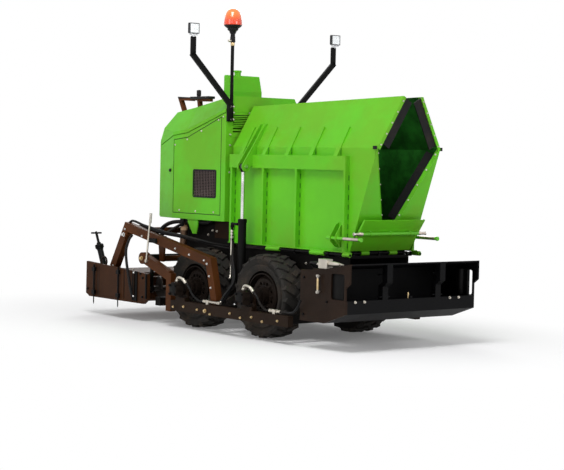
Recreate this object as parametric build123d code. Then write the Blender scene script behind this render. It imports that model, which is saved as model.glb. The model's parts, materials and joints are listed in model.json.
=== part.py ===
"""Compact wheeled asphalt paver with folding hopper wings and a towed floating screed.

Millimetres. +X is forward (the hopper end), +Y is left, +Z is up.
The origin is on the ground, under the middle of the machine's outline.
"""
from build123d import *
from math import atan2, cos, degrees, hypot, radians, sin, tan
import os

os.makedirs("parts", exist_ok=True)

# ---- driving dimensions -------------------------------------------------------------------
SIDES = {"right": -1, "left": 1}

FRONT_AXLE_X = 679
REAR_AXLE_X = -362
TYRE_R = 387.5
TYRE_W = 264
RIM_R = 210
WHEEL_Y = 526
AXLE_Z = TYRE_R

PLATE_Y = (340, 360)            # chassis side plates, inner and outer face
DECK_Z = 800                    # top of the conveyor deck
BEAM_Y = (742, 800)             # outer lower beams
BEAM_Z = (166, 264)

HOOD_FRONT_X = -150
HOOD_Y = 450
HOOD_FLOOR_Z = 1030
HOOD_SKIN = 15
HOOD_FACET_X = -1019            # where the rear corners start to taper inwards
HOOD_REAR_X = -1310
HOOD_REAR_Y = 396
ROOF_KINK_X = -773
ROOF_Y = 456                    # the roof's skirt stands proud of the sides
ROOF_SKIRT = 42

WING_HINGE_Y = 420
WING_HINGE_Z = 810
WING_SKIN = 8
WING_FRAME_Y = 426              # outer plane of the stiffener frame
WING_REAR_X = -125
WING_FRONT_X = 1915             # front corner of the wing at its crease

WING_BAR_YZ = (458, 955)        # forward-pointing bar beside the wing's front post
WING_BAR_R = 15
WING_BAR_X = (1380, 1830)

RAM_X = 200                     # hopper cylinders, pins along X
RAM_Y = 500
RAM_BASE_Z = 450
RAM_EYE_Z = 1560
RAM_GLAND_Z = 1065

APRON_X = 1550                  # apron hinge, along Y
APRON_Z = 820
APRON_TOP = (1762, 1120)        # x, z of the apron's upper edge
APRON_Y = 360
APRON_TUBE_R = 17

ARM_Y = (668, 738)              # goose-neck screed arms
ARM_PIVOT = (49, 205)           # x, z
LIFT_Y = 415                    # screed lift cylinders, pins along Y
LIFT_TOP = (-850, 985)          # x, z
LIFT_EYE = (-880, 640)

LAMP_ARM_X = (-150, -128)       # lamp arms stand on the hood's front face
BEACON_XY = (-139, -400)

BOX_Y = 771                     # half width of the front box
BOX_TOP_Z = 761
BOX_FRONT_X = 2050


# ---- helpers ------------------------------------------------------------------------------
def block(x, y, z):
    """Box from (low, high) pairs."""
    size = [hi - lo for lo, hi in (x, y, z)]
    mid = [(hi + lo) / 2 for lo, hi in (x, y, z)]
    return Pos(*mid) * Box(*size)


def rod_x(y, z, r, x0, x1):
    return Pos((x0 + x1) / 2, y, z) * Rot(0, 90, 0) * Cylinder(r, x1 - x0)


def rod_y(x, z, r, y0, y1):
    return Pos(x, (y0 + y1) / 2, z) * Rot(90, 0, 0) * Cylinder(r, y1 - y0)


def rod_z(x, y, r, z0, z1):
    return Pos(x, y, (z0 + z1) / 2) * Cylinder(r, z1 - z0)


def side_plate(points, y0, y1):
    """Outline in X and Z, extruded from y0 to y1."""
    plane = Plane(origin=(0, y1, 0), x_dir=(1, 0, 0), z_dir=(0, -1, 0))
    return extrude(plane * make_face(Polyline(*points, close=True)), y1 - y0)


def cross_plate(points, x0, x1):
    """Outline in Y and Z, extruded from x0 to x1."""
    plane = Plane(origin=(x0, 0, 0), x_dir=(0, 1, 0), z_dir=(1, 0, 0))
    return extrude(plane * make_face(Polyline(*points, close=True)), x1 - x0)


def floor_plate(points, z0, z1):
    """Outline in X and Y, extruded from z0 to z1."""
    plane = Plane(origin=(0, 0, z0))
    return extrude(plane * make_face(Polyline(*points, close=True)), z1 - z0)


def mirrored(shape):
    return mirror(shape, about=Plane.XZ)


def both(shape):
    """The shape and its mirror image on the other side of the machine."""
    return [shape, mirrored(shape)]


def below(shape, origin, normal):
    """The part of the shape on the side of a plane that its normal points away from."""
    return split(shape, bisect_by=Plane(origin=origin, z_dir=normal), keep=Keep.BOTTOM)


def band(points, width):
    """Closed outline of a constant-width band with mitred corners along a centre line."""
    left, right = [], []
    for i, (px, pz) in enumerate(points):
        before = points[max(i - 1, 0)]
        after = points[min(i + 1, len(points) - 1)]
        a = atan2(pz - before[1], px - before[0]) if i else None
        b = atan2(after[1] - pz, after[0] - px) if i < len(points) - 1 else None
        a = b if a is None else a
        b = a if b is None else b
        mid = (a + b) / 2
        reach = width / 2 / cos((b - a) / 2)
        left.append((px - reach * sin(mid), pz + reach * cos(mid)))
        right.append((px + reach * sin(mid), pz - reach * cos(mid)))
    return left + right[::-1]


def tube(points, radii, r):
    """Round bar along straight runs joined by tangent arcs."""
    path = FilletPolyline(*points, radius=radii)
    return sweep(Plane(origin=path @ 0, z_dir=path % 0) * Circle(r), path=path)


def save(name, *shapes):
    """Write one node: every shape is its own solid."""
    solids = [s for shape in shapes for s in shape.solids()]
    export_step(Compound(children=solids), f"parts/{name}.step")


# ---- chassis ------------------------------------------------------------------------------
def chassis_plates():
    """Side plates between the wheels, high under the hood and low under the hopper."""
    outline = [(-950, 560), (-760, 300), (-700, 262), (1401, 262), (1560, 300), (1560, 788),
               (-120, 788), (-190, HOOD_FLOOR_Z), (-1000, HOOD_FLOOR_Z), (-1000, 760),
               (-950, 700)]
    return both(side_plate(outline, *PLATE_Y))


def crossbeams():
    """Beams under the side plates, with the lugs and pins of the hopper cylinders."""
    parts = []
    for x0, x1 in ((165, 255), (-860, -780), (1100, 1170)):
        parts.append(block((x0, x1), (-BEAM_Y[0], BEAM_Y[0]), (180, 262)))
    middle = parts[0]
    for side in (-1, 1):
        y = side * RAM_Y
        for x in (RAM_X - 34, RAM_X + 22):
            lug = block((x, x + 12), (y - 38, y + 38), (262, RAM_BASE_Z))
            middle += lug + rod_x(y, RAM_BASE_Z, 38, x, x + 12)
        middle += rod_x(y, RAM_BASE_Z, 15, RAM_X - 40, RAM_X + 40)
    # the rear beam hangs from the raised tail of the side plates on two hangers
    rear = parts[1]
    for side in (-1, 1):
        y = side * sum(PLATE_Y) / 2
        rear += block((-850, -790), (y - 10, y + 10), (262, 332))
    return [middle, rear - Compound(children=chassis_plates()), parts[2]]


def hopper_deck():
    """Conveyor deck between the side plates, with wing hinge rods and their brackets."""
    deck = block((-118, 1560), (-PLATE_Y[0], PLATE_Y[0]), (DECK_Z - 25, DECK_Z - 12))
    deck += block((-980, -118), (-PLATE_Y[0], PLATE_Y[0]), (DECK_Z - 25, DECK_Z - 12))
    return [deck]


def wing_hinge_brackets():
    """Rods that carry the wings, each in three ears that stand out from a side plate."""
    made = []
    for side in (-1, 1):
        y = side * WING_HINGE_Y
        rod = rod_x(y, WING_HINGE_Z, 10, 430, 1650)
        ears = rod
        for x in (440, 870, 1340, 1515):
            ear = block((x, x + 24), (min(side * 361, y), max(side * 361, y)), (786, 806))
            ears += ear + rod_x(y, WING_HINGE_Z, 17, x, x + 24)
        foot = block((430, 1545), tuple(sorted((side * 340, side * 372))), (788, 800))
        ears += foot
        made.append(ears)
    return made


def conveyor():
    """Two drag chains with slats across the deck."""
    top = DECK_Z - 12
    parts = []
    for i in range(14):
        x = -880 + i * 180
        parts.append(block((x, x + 40), (-290, 290), (top, top + 22)))
    for y in (-306, 306):
        parts.append(block((-900, 1515), (y - 15, y + 15), (top, top + 26)))
    return parts


def side_beams():
    """Lower beams with the pins of the screed arms and the cradles of the wheel motors."""
    beam = block((-520, 1274), BEAM_Y, BEAM_Z)
    beam += rod_y(*ARM_PIVOT, 25, ARM_Y[0] - 6, BEAM_Y[0])
    for x in (FRONT_AXLE_X, REAR_AXLE_X):
        beam += motor_cradle(x)
    return both(beam)


def rear_brackets():
    """Posts at the tail of the lower beams, with an arm up to the auger's cross tube."""
    post = block((-600, -520), BEAM_Y, (150, 520))
    arm = side_plate(band([(-565, 490), (-1007, 635)], 92), *BEAM_Y)
    boss = rod_y(-1007, 635, 58, BEAM_Y[0], BEAM_Y[1] + 12)
    return both(post + arm + boss)


def auger_frame():
    """Cross tube between the rear brackets, the auger's drive case and its end bearings."""
    tube_r = 38
    frame = rod_y(-1007, 635, tube_r, -BEAM_Y[0], BEAM_Y[0])
    case = block((-1052, -962), (-40, 40), (265, 635))
    case += rod_y(-1007, 330, 70, -40, 40)
    frame += case
    for side in (-1, 1):
        y = side * 690
        frame += block((-1027, -987), (y - 8, y + 8), (330, 620))
        frame += rod_y(-1007, 330, 40, y - 8, y + 8)
    frame -= rod_y(-1007, 330, 25.05, -40.5, 40.5)
    for side in (-1, 1):
        frame -= rod_y(-1007, 330, 25.05, side * 690 - 9, side * 690 + 9)
    return [frame]


def auger():
    """Two-handed auger: cast flight segments on one shaft, thrown outwards from the middle."""
    shaft = rod_y(-1007, 330, 25, -696, 696)
    pitch = 130
    for side in (-1, 1):
        for i in range(4):
            y = side * (110 + i * pitch + pitch / 2)
            for half in (0, 1):
                seg = Cylinder(120, 10) - Cylinder(24, 12)
                seg &= Pos(0, 65 if half else -65, 0) * Box(260, 129, 20)
                lean = side * (18 if half else -18)
                seg = Rot(90, 0, 0) * (Rot(0, lean, 0) * seg)
                shaft += Pos(-1007, y + side * (half - 0.5) * pitch / 2, 330) * seg
    return [shaft]


def stub_axles():
    made = []
    for x in (FRONT_AXLE_X, REAR_AXLE_X):
        axle = rod_y(x, AXLE_Z, 85, PLATE_Y[1], PLATE_Y[1] + 20)
        axle += rod_y(x, AXLE_Z, 45, PLATE_Y[1] + 20, 430)
        axle += rod_y(x, AXLE_Z, 30, 430, 620)
        made += both(axle)
    return made


def hub_motors():
    """Hydraulic wheel motors outboard of the wheels, each with its port block."""
    made = []
    for x in (FRONT_AXLE_X, REAR_AXLE_X):
        motor = rod_y(x, AXLE_Z, 62, 700, 880)
        motor += rod_y(x, AXLE_Z, 84, 700, 722)
        motor += block((x - 55, x + 55), (800, 888), (320, 430))
        motor += rod_y(x, AXLE_Z, 30, 664, 700)
        made += both(motor - motor_cradle(x))
    return made


def motor_cradle(x):
    cradle = block((x - 75, x + 75), BEAM_Y, (BEAM_Z[1], 300))
    web = side_plate([(x - 75, 300), (x + 75, 300), (x + 60, 400), (x - 60, 400)], 744, 764)
    return cradle + web - rod_y(x, AXLE_Z, 62, 700, 880)


# ---- wheels -------------------------------------------------------------------------------
def tyre(x, y):
    """Flotation tyre: square shoulders on bulged side walls."""
    half = TYRE_W / 2
    section = [(RIM_R, -half + 30), (RIM_R + 30, -half + 10), (RIM_R + 90, -half),
               (TYRE_R - 40, -half + 2), (TYRE_R - 8, -half + 20), (TYRE_R, -half + 60),
               (TYRE_R, half - 60), (TYRE_R - 8, half - 20), (TYRE_R - 40, half - 2),
               (RIM_R + 90, half), (RIM_R + 30, half - 10), (RIM_R, half - 30)]
    ring = revolve(Plane.XZ * make_face(Polyline(*section, close=True)), axis=Axis.Z)
    return Pos(x, y, AXLE_Z) * Rot(90, 0, 0) * ring


def rim(x, side):
    """Dished steel disc wheel; its hub runs on the stub axle."""
    out = [(30.05, 20), (70, 20), (70, 60), (150, 60), (185, 20), (185, -85), (205, -100),
           (RIM_R - 0.2, -100), (RIM_R - 0.2, 100), (200, 100), (195, 40), (160, 78), (80, 78),
           (80, 132), (30.05, 132)]
    disc = revolve(Plane.XZ * make_face(Polyline(*out, close=True)), axis=Axis.Z)
    for i in range(8):
        disc -= Rot(0, 0, i * 45 + 22.5) * Pos(118, 0, 69) * Cylinder(16, 30)
    return Pos(x, side * WHEEL_Y, AXLE_Z) * Rot(-90 * side, 0, 0) * disc


# ---- front box ----------------------------------------------------------------------------
def front_box():
    """Open black frame ahead of the front wheels: cheeks, three front cells, top plate."""
    cheek_outline = [(1401, 243), (1725, 243), (1996, 338), (1996, 560), (BOX_FRONT_X, 600),
                     (BOX_FRONT_X, BOX_TOP_Z - 6), (1725, 697), (1401, 685)]
    cheek = side_plate(cheek_outline, BOX_Y - 16, BOX_Y)
    window = block((1811, 1980), (BOX_Y - 20, BOX_Y + 4), (455, 677))
    cheek -= fillet(window.edges().filter_by(Axis.Y), 20)
    frame = cheek + mirrored(cheek)
    top_outline = [(1566, 691), (1725, 697), (BOX_FRONT_X, BOX_TOP_Z - 6),
                   (BOX_FRONT_X, BOX_TOP_Z + 6), (1725, 709), (1566, 703)]
    frame += side_plate(top_outline, -BOX_Y, BOX_Y)
    rear_wall = block((1566, 1580), (-BOX_Y, BOX_Y), (262, 700))
    frame += rear_wall
    rail = side_plate([(1940, 338), (1996, 338), (1996, 450), (1940, 450)], -BOX_Y, BOX_Y)
    frame += rail
    floor = side_plate([(1566, 243), (1725, 243), (1996, 338), (1996, 352), (1723, 256),
                        (1566, 256)], -BOX_Y, BOX_Y)
    frame += floor
    post_outline = [(1940, 440), (1996, 440), (1996, 560), (BOX_FRONT_X, 600),
                    (BOX_FRONT_X, 760), (1990, 750), (1990, 600), (1940, 570)]
    for y in (-315, 315):
        frame += side_plate(post_outline, y - 32, y + 32)
    return [frame]


# ---- hydraulics ---------------------------------------------------------------------------
HOSE_R = 10
TEE_Z = 288                     # tees of the wheel motors' hoses, on the beams' inner side
VALVE_Y = 718
MOTOR_HOSES = [                 # from a motor's port to the near end of its tee
    [(816, 828, 441.6), (864, 828, 407), (892, 812, 342), (924, 778, 286), (974, 770, TEE_Z)],
    [(-225, 828, 441.6), (-177, 828, 407), (-146, 812, 342), (-96, 774, 284), (-24, 770, TEE_Z)],
]
FRONT_HOSE = [(1138, 770, TEE_Z), (1250, 776, 290), (1350, 806, 302), (1420, 815, 350),
              (1460, 815, 420)]
TEE_HOSE = [(242, 656, 407), (243, 680, 387), (240, 714, 356), (235, 744, 319)]
RAM_HOSE = [(85, 530, 846), (85, 533, 740), (130, 562, 640), (215, 600, 565), (238, 610, 482)]
# x, distance outwards from the valve, z, and how much of the pair's spacing is along Y
VALVE_HOSE = [(1586, 0, 742, 1), (1540, 8, 752, 1), (1470, -14, 748, 1), (1405, -78, 720, 0.6),
              (1366, -190, 690, 0.1), (1350, -290, 676, 0), (1346, -356, 676, 0)]
RAM_PORT_Z = 1020


def route(points):
    """Straight runs with tangent arcs that take most of the shorter run at each bend."""
    points = [Vector(*point) for point in points]
    radii = []
    for before, at, after in zip(points, points[1:], points[2:]):
        turn = radians((at - before).get_angle(after - at))
        radii.append(0.45 * min((at - before).length, (after - at).length) / tan(turn / 2))
    print("bend radii over the hose's diameter:", [round(r / HOSE_R / 2, 1) for r in radii])
    return points, radii


def hose(points):
    points, radii = route(points)
    return tube(points, radii, HOSE_R)


def motor_fittings():
    """Left ports of both wheel motors and the tees that their hoses run to."""
    made = []
    for x in (FRONT_AXLE_X, REAR_AXLE_X):
        port = rod_z(x - 12, 828, 14, 430.2, 452)
        bend = [(x - 12, 828, 450), (x - 12, 828, 486), (x + 30, 828, 492), (x + 82, 828, 481)]
        points = [Vector(*point) for point in bend]
        port += tube(points, [24, 60], 13)
        port += Pos(x + 108, 828, 462) * Rot(0, 125, 0) * Cylinder(14, 66)
        made.append(port - rod_y(x, AXLE_Z, 62.2, 700, 881))
    for x0, x1 in ((976, 1136), (-22, 246)):
        tee = rod_x(770, TEE_Z, 13, x0, x1)
        tee += block((x0 + 60, x0 + 96), (753, 787), (BEAM_Z[1] + 0.2, TEE_Z + 17))
        made.append(tee)
    # the rear tee's second outlet leans inwards to meet the cylinder's hose
    outlet = Plane(origin=(235, 770, TEE_Z), z_dir=(0, -0.64, 0.77))
    made[-1] += outlet * Pos(0, 0, 19) * Cylinder(12, 38)
    return made


def valve_block():
    """Coupling block on the right of the front box's top plate, with a cone coupling."""
    y = -VALVE_Y
    valve = block((1612, 1724), (y - 38, y + 38), (709.5, 790))
    valve = chamfer(valve.edges().filter_by(Axis.Z), 6)
    valve += rod_x(y, 752, 22, 1724, 1790)
    valve += Pos(1825, y, 752) * Rot(0, 90, 0) * Cone(22, 14, 70)
    valve += rod_x(y, 752, 9, 1850, 1900)
    for step in (-18, 18):
        valve += rod_x(y + step, 742, 13, 1590, 1613)
    return valve


def grab_handle():
    """Left handle on the front box's cheek."""
    handle = rod_z(1663, BOX_Y + 24, 9, 500, 652)
    for z in (512, 640):
        handle += rod_y(1663, z, 8, BOX_Y + 0.2, BOX_Y + 24)
    return handle


def lift_lever():
    """Left hand lever beside the goose-neck arm."""
    lever = tube([Vector(-930, 812, 600), Vector(-897, 812, 850), Vector(-863, 812, 1083)],
                 [900], 9)
    return lever + rod_y(-930, 612, 16, 800.2, 821)


def fittings():
    made = [valve_block()]
    for piece in (*motor_fittings(), grab_handle(), lift_lever()):
        made += both(piece)
    return made


def hoses():
    """Wheel motors' hoses, the hoses from the tees, and the pair from the valve block."""
    made = []
    for points in (*MOTOR_HOSES, FRONT_HOSE, TEE_HOSE):
        made += both(hose(points))
    for step in (-18, 18):
        made.append(hose([(x + step * (1 - share), step * share - VALVE_Y - out, z)
                          for x, out, z, share in VALVE_HOSE]))
    return made


# ---- hood ---------------------------------------------------------------------------------
def side_top(x):
    """Height of the hood side's top edge."""
    if x > ROOF_KINK_X:
        return 1925 + 0.31 * (x - ROOF_KINK_X)
    return 1925 + 0.12 * (x - ROOF_KINK_X)


def hood_side():
    """Left side: flat door side and the tapered rear corner, with the grille opening."""
    seam = ROOF_SKIRT + 5
    outline = [(HOOD_FRONT_X, HOOD_FLOOR_Z), (HOOD_FRONT_X, side_top(HOOD_FRONT_X) - seam),
               (ROOF_KINK_X, side_top(ROOF_KINK_X) - seam),
               (HOOD_FACET_X, side_top(HOOD_FACET_X) - seam), (HOOD_FACET_X, HOOD_FLOOR_Z)]
    side = side_plate(outline, HOOD_Y - HOOD_SKIN, HOOD_Y)
    corner = floor_plate([(HOOD_FACET_X, HOOD_Y), (HOOD_REAR_X, HOOD_REAR_Y),
                          (HOOD_REAR_X, HOOD_REAR_Y - HOOD_SKIN),
                          (HOOD_FACET_X, HOOD_Y - HOOD_SKIN)], HOOD_FLOOR_Z, 1900)
    drop = (side_top(HOOD_FACET_X) - 1800) / (HOOD_FACET_X - HOOD_REAR_X)
    corner = below(corner, (HOOD_FACET_X, 0, side_top(HOOD_FACET_X) - seam), (-drop, 0, 1))
    return side + corner - grille_panel(HOOD_Y - 20, HOOD_Y + 5)


def grille_panel(y0, y1):
    panel = block((-667, -298), (y0, y1), (1255, 1515))
    return fillet(panel.edges().filter_by(Axis.Y), 25)


def roof_block():
    """Roof form: hipped on both sides, with a steep slope at the rear."""
    low = 1700
    rise = (2194 - 2085) / (1119 - 399)
    proud = ROOF_Y - HOOD_Y
    outline = [(HOOD_FRONT_X, -ROOF_Y), (HOOD_FRONT_X, ROOF_Y), (HOOD_FACET_X, ROOF_Y),
               (HOOD_REAR_X, HOOD_REAR_Y + proud), (HOOD_REAR_X, -HOOD_REAR_Y - proud),
               (HOOD_FACET_X, -ROOF_Y)]
    plan = floor_plate(outline, low, 2300)
    halves = []
    for x0, x1, slope in ((ROOF_KINK_X, HOOD_FRONT_X, 0.31), (HOOD_REAR_X, ROOF_KINK_X, 0.12)):
        half = plan & block((x0, x1), (-ROOF_Y, ROOF_Y), (low, 2300))
        half = below(half, (-399, 0, 2194), (-rise, 0, 1))
        for side in (-1, 1):
            half = below(half, (ROOF_KINK_X, side * HOOD_Y, 1925), (-slope, side * 1.771, 1))
        halves.append(half)
    roof = halves[0] + halves[1]
    return below(roof, (HOOD_REAR_X, 0, 1800), (-(2085 - 1800), 0, 1310 - 1119))


def hood_top():
    """Roof shell with a skirt that hangs past the sides' top edges."""
    outer = roof_block()
    wall = 10
    inside = floor_plate([(HOOD_REAR_X + wall, HOOD_REAR_Y - 4), (HOOD_FACET_X, ROOF_Y - wall + 4),
                          (HOOD_FRONT_X - HOOD_SKIN, ROOF_Y - wall + 4),
                          (HOOD_FRONT_X - HOOD_SKIN, -ROOF_Y + wall - 4),
                          (HOOD_FACET_X, -ROOF_Y + wall - 4), (HOOD_REAR_X + wall, 4 - HOOD_REAR_Y)],
                         1600, 2300)
    shell = outer - (inside & Pos(0, 0, -18) * outer)
    # only what stands above the side walls' top edges belongs to the roof
    keep = side_plate([(HOOD_FRONT_X, side_top(HOOD_FRONT_X) - ROOF_SKIRT),
                       (ROOF_KINK_X, side_top(ROOF_KINK_X) - ROOF_SKIRT),
                       (HOOD_FACET_X, side_top(HOOD_FACET_X) - ROOF_SKIRT),
                       (HOOD_REAR_X, 1800 - ROOF_SKIRT), (HOOD_REAR_X, 2400),
                       (HOOD_FRONT_X, 2400)], -ROOF_Y, ROOF_Y)
    return shell & keep


def hood_front():
    """Front wall with the louvred air inlet near its top."""
    y = HOOD_Y - HOOD_SKIN
    wall = block((HOOD_FRONT_X - HOOD_SKIN, HOOD_FRONT_X), (-y, y),
                 (HOOD_FLOOR_Z, side_top(HOOD_FRONT_X) - ROOF_SKIRT - 2))
    for i in range(6):
        z = 1885 + i * 30
        wall -= block((HOOD_FRONT_X - 20, HOOD_FRONT_X + 5), (-370, 370), (z, z + 13))
    return wall


def hood_floor():
    y = HOOD_Y - HOOD_SKIN
    return floor_plate([(HOOD_FRONT_X - HOOD_SKIN, -y), (HOOD_FRONT_X - HOOD_SKIN, y),
                        (HOOD_FACET_X, y), (HOOD_REAR_X + 16, 381), (HOOD_REAR_X + 16, -381),
                        (HOOD_FACET_X, -y)], HOOD_FLOOR_Z, HOOD_FLOOR_Z + 12)


def rear_door():
    """Rear engine door on a vertical hinge at its left edge."""
    door = block((HOOD_REAR_X - 20, HOOD_REAR_X - 5), (-390, 380), (HOOD_FLOOR_Z + 10, 1790))
    for i in range(10):
        z = 1450 + i * 26
        door -= block((HOOD_REAR_X - 25, HOOD_REAR_X), (-250, 250), (z, z + 12))
    return door


# ---- hopper wings -------------------------------------------------------------------------
WING_BOTTOM = (376, 832)        # y, z of the wing's section, from the floor to the lip
WING_CREASE = (376, 1750)
WING_LIP = (114, 2205)
MOUTH_CORNER = Vector(WING_FRONT_X, *WING_CREASE)
MOUTH_TIP = Vector(1950, *WING_LIP)
CHEEK_LOW_Z = 990
CHEEK_TIP = (94, 1105)          # y, z of the lower corner of the V-shaped mouth
CHEEK_LEAN = (WING_FRONT_X - 1585) / (WING_CREASE[1] - WING_BOTTOM[1])


def edge_strip(start, end, toward, near, far, lift, thickness):
    """Flat strip beside the edge from start to end, from near to far in direction toward."""
    along = (end - start).normalized()
    inward = (toward - along * toward.dot(along)).normalized()
    normal = along.cross(inward)
    if normal.X < 0:
        normal = normal * -1
    corners = [start + inward * near, end + inward * near, end + inward * far,
               start + inward * far]
    face = make_face(Polyline(*[corner + normal * lift for corner in corners], close=True))
    return extrude(face, thickness, dir=normal)


def cheek_edge():
    """Lower edge of the mouth, from the crease down to the V's corner."""
    y, z = CHEEK_TIP
    return MOUTH_CORNER, Vector(cheek_x(z), y, z)


def cheek_x(z):
    return WING_FRONT_X + CHEEK_LEAN * (z - WING_CREASE[1])


LIP_INWARD = Vector(0, -0.85, -0.5)
CHEEK_INWARD = Vector(-0.78, -0.62, 0)


def wing_skin():
    """Left wing: folded side sheet, rear end sheet, front cheek and the mouth's clamp bars."""
    t = WING_SKIN
    section = [WING_BOTTOM, WING_CREASE, WING_LIP, (WING_LIP[0] - 7, WING_LIP[1] - 5),
               (WING_CREASE[0] - t, WING_CREASE[1] - 3), (WING_BOTTOM[0] - t, WING_BOTTOM[1])]
    sheet = cross_plate(section, -140, 1960)
    profile = [(-94, 800), (WING_REAR_X, 1745), (-110, 2140), (MOUTH_TIP.X, MOUTH_TIP.Z),
               (WING_FRONT_X, WING_CREASE[1]), (cheek_x(800), 800)]
    sheet &= side_plate(profile, 0, 500)
    solid = cross_plate([WING_BOTTOM, WING_CREASE, WING_LIP, (12, WING_LIP[1]), (12, 1300),
                         (87, 1129), (200, 900), (240, 832)], -140, 1960)
    rear = solid & side_plate([(-94, 800), (WING_REAR_X, 1745), (-110, 2140), (-102, 2140),
                               (WING_REAR_X + 8, 1745), (-86, 800)], 0, 500)
    bars = edge_strip(MOUTH_CORNER, MOUTH_TIP, LIP_INWARD, 1, 30, -2, 8)
    bars += edge_strip(*cheek_edge(), CHEEK_INWARD, -4, 30, -3, 8)
    return sheet + rear + cheek_solid() + bars


def cheek_solid():
    """Front sheet between the leaning front edge and the V-shaped mouth."""
    y_tip, z_tip = CHEEK_TIP
    y_out = WING_CREASE[0]
    outline = [(y_out, WING_CREASE[1]), (y_tip, z_tip), (y_tip, CHEEK_LOW_Z),
               (y_out, CHEEK_LOW_Z)]
    face = make_face(Polyline(*[Vector(cheek_x(z), y, z) for y, z in outline], close=True))
    return extrude(face, 6, dir=Vector(-1, 0, CHEEK_LEAN).normalized())


def wing_frame():
    """Left wing's stiffener frame: rail, posts, bottom flange, ribs and hinge knuckles."""
    out = WING_FRAME_Y
    rear, front = -118, 1561
    frame = block((rear, front), (330, out), (1550, 1676))
    frame -= block((rear + 6, front - 6), (330, out - 6), (1556, 1670))
    frame += block((rear, 1600), (330, out), (832, 840))
    # each post is a web across the skin with a narrow lip along its outer edge
    for x in (-76, 410, 895, front):
        frame += block((x - 8, x), (330, out), (832, 1560))
        frame += block((x - 26, x), (out - 8, out), (832, 1560))
    # pad under the bar's lugs, welded to the front post
    frame += block((1415, front), (330, WING_BOTTOM[0] + 6), (880, 1100))
    # everything inboard of the side sheet's outer face goes
    outward = Vector(0, WING_CREASE[1] - WING_BOTTOM[1], WING_BOTTOM[0] - WING_CREASE[0])
    frame = below(frame, (0, *WING_CREASE), -outward)
    foot = WING_CREASE[0]
    rib = [(out, 1676), (foot - 5, 1676), (foot - 5, 1750), (270, 1929), (286, 1936)]
    hollow = [(out - 7, 1670), (330, 1670), (330, 1800), (262, 1920), (276, 1926)]
    for x in (60, 400, 738, 1079, 1421):
        frame += cross_plate(rib, x - 26, x + 26) - cross_plate(hollow, x - 21, x + 21)
    frame += ram_lugs()
    for x in (574, 1205, 1600):
        half = 98 if x < 1500 else 45
        knuckle = rod_x(WING_HINGE_Y, WING_HINGE_Z, 18, x - half, x + half)
        knuckle += block((x - half, x + half), (400, 426), (WING_HINGE_Z, 834))
        frame += knuckle - rod_x(WING_HINGE_Y, WING_HINGE_Z, 10.05, x - 100, x + 100)
    bar_y, bar_z = WING_BAR_YZ
    lug = [(foot, 870), (out, 880), (bar_y + 24, bar_z - 24), (bar_y + 24, bar_z + 24),
           (out - 6, 1070), (foot, 1095)]
    for x in (1437, 1508):
        frame += cross_plate(lug, x, x + 9)
    return frame - wing_skin() - rod_x(*WING_BAR_YZ, WING_BAR_R + 0.05, *WING_BAR_X)


def ram_lugs():
    """Twin lugs that run from the cylinder's eye up over the crease onto the lip."""
    foot = WING_CREASE[0]
    blade = [(WING_FRAME_Y, 1570), (WING_FRAME_Y, 1676), (foot, 1676), (foot, 1750),
             (250, 1968), (285, 1960), (RAM_Y + 40, RAM_EYE_Z + 22), (RAM_Y, RAM_EYE_Z - 20)]
    lugs = None
    for x in (RAM_X - 42, RAM_X + 30):
        lug = cross_plate(blade, x, x + 12) + rod_x(RAM_Y, RAM_EYE_Z, 46, x, x + 12)
        lugs = lug if lugs is None else lugs + lug
    return lugs


def wing_bar():
    bar = rod_x(*WING_BAR_YZ, WING_BAR_R, *WING_BAR_X)
    return bar + rod_x(*WING_BAR_YZ, WING_BAR_R + 4, WING_BAR_X[1] - 14, WING_BAR_X[1])


def wing_flaps():
    """Rubber strips behind the mouth's clamp bars, with a stub past the crease."""
    start, end = cheek_edge()
    along = (end - start).normalized()
    lower = edge_strip(start + along * 70, end, CHEEK_INWARD, 15, 102, -12.5, 8)
    rise = (MOUTH_TIP - MOUTH_CORNER).normalized() * 62
    upper = edge_strip(MOUTH_CORNER + rise, MOUTH_TIP, LIP_INWARD, 14, 118, -10.5, 8)
    stub = block((WING_FRONT_X - 30, WING_FRONT_X + 2), (381.5, 402), (1738, 1768))
    return [lower, upper, stub]


# ---- cylinders ----------------------------------------------------------------------------
def ram_barrel(base, gland, r, bore, rod_r, eye_r, pin_r, width):
    """Upright cylinder barrel along Z, base eye at z=base, pin along X."""
    body = rod_z(0, 0, r, base + eye_r + 10, gland)
    body += block((-width / 2, width / 2), (-eye_r * 0.8, eye_r * 0.8), (base, base + eye_r + 20))
    body += rod_z(0, 0, r + 4, gland - 30, gland)
    body += rod_x(0, base, eye_r, -width / 2, width / 2)
    body -= rod_z(0, 0, bore, base + eye_r + 30, gland - 25)
    body -= rod_z(0, 0, rod_r + 0.05, gland - 30, gland + 1)
    return body - rod_x(0, base, pin_r + 0.05, -width, width)


def ram_pipe():
    """Left cylinder's gland port, with its elbow and the pipe down to the hose."""
    y = RAM_Y + 30
    pipe = rod_x(y, RAM_PORT_Z, 13, 85, RAM_X - 24) + Pos(85, y, RAM_PORT_Z) * Sphere(16)
    pipe += rod_z(85, y, 13, 850, RAM_PORT_Z)
    for z in (858, 985):
        pipe += rod_z(85, y, 18, z, z + 24)
    return pipe - rod_z(RAM_X, RAM_Y, 31, 900, 1100)


def ram_rod(eye, low, rod_r, piston_r, eye_r, width, pin_r, pin_half):
    """Rod with its piston and eye; the eye's pin ends short of the lugs on either side."""
    body = rod_z(0, 0, rod_r, low, eye - eye_r * 0.6)
    body += rod_z(0, 0, piston_r, low, low + 35)
    body += rod_x(0, eye, eye_r, -width / 2, width / 2)
    return body + rod_x(0, eye, pin_r, -pin_half, pin_half)


def hung(side, shape):
    """Turn an upright cylinder part so that it hangs from a lift pin towards its eye."""
    lean = degrees(atan2(LIFT_EYE[0] - LIFT_TOP[0], LIFT_EYE[1] - LIFT_TOP[1]))
    return Pos(LIFT_TOP[0], side * LIFT_Y, LIFT_TOP[1]) * Rot(0, lean, 0) * Rot(0, 0, 90) * shape


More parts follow.
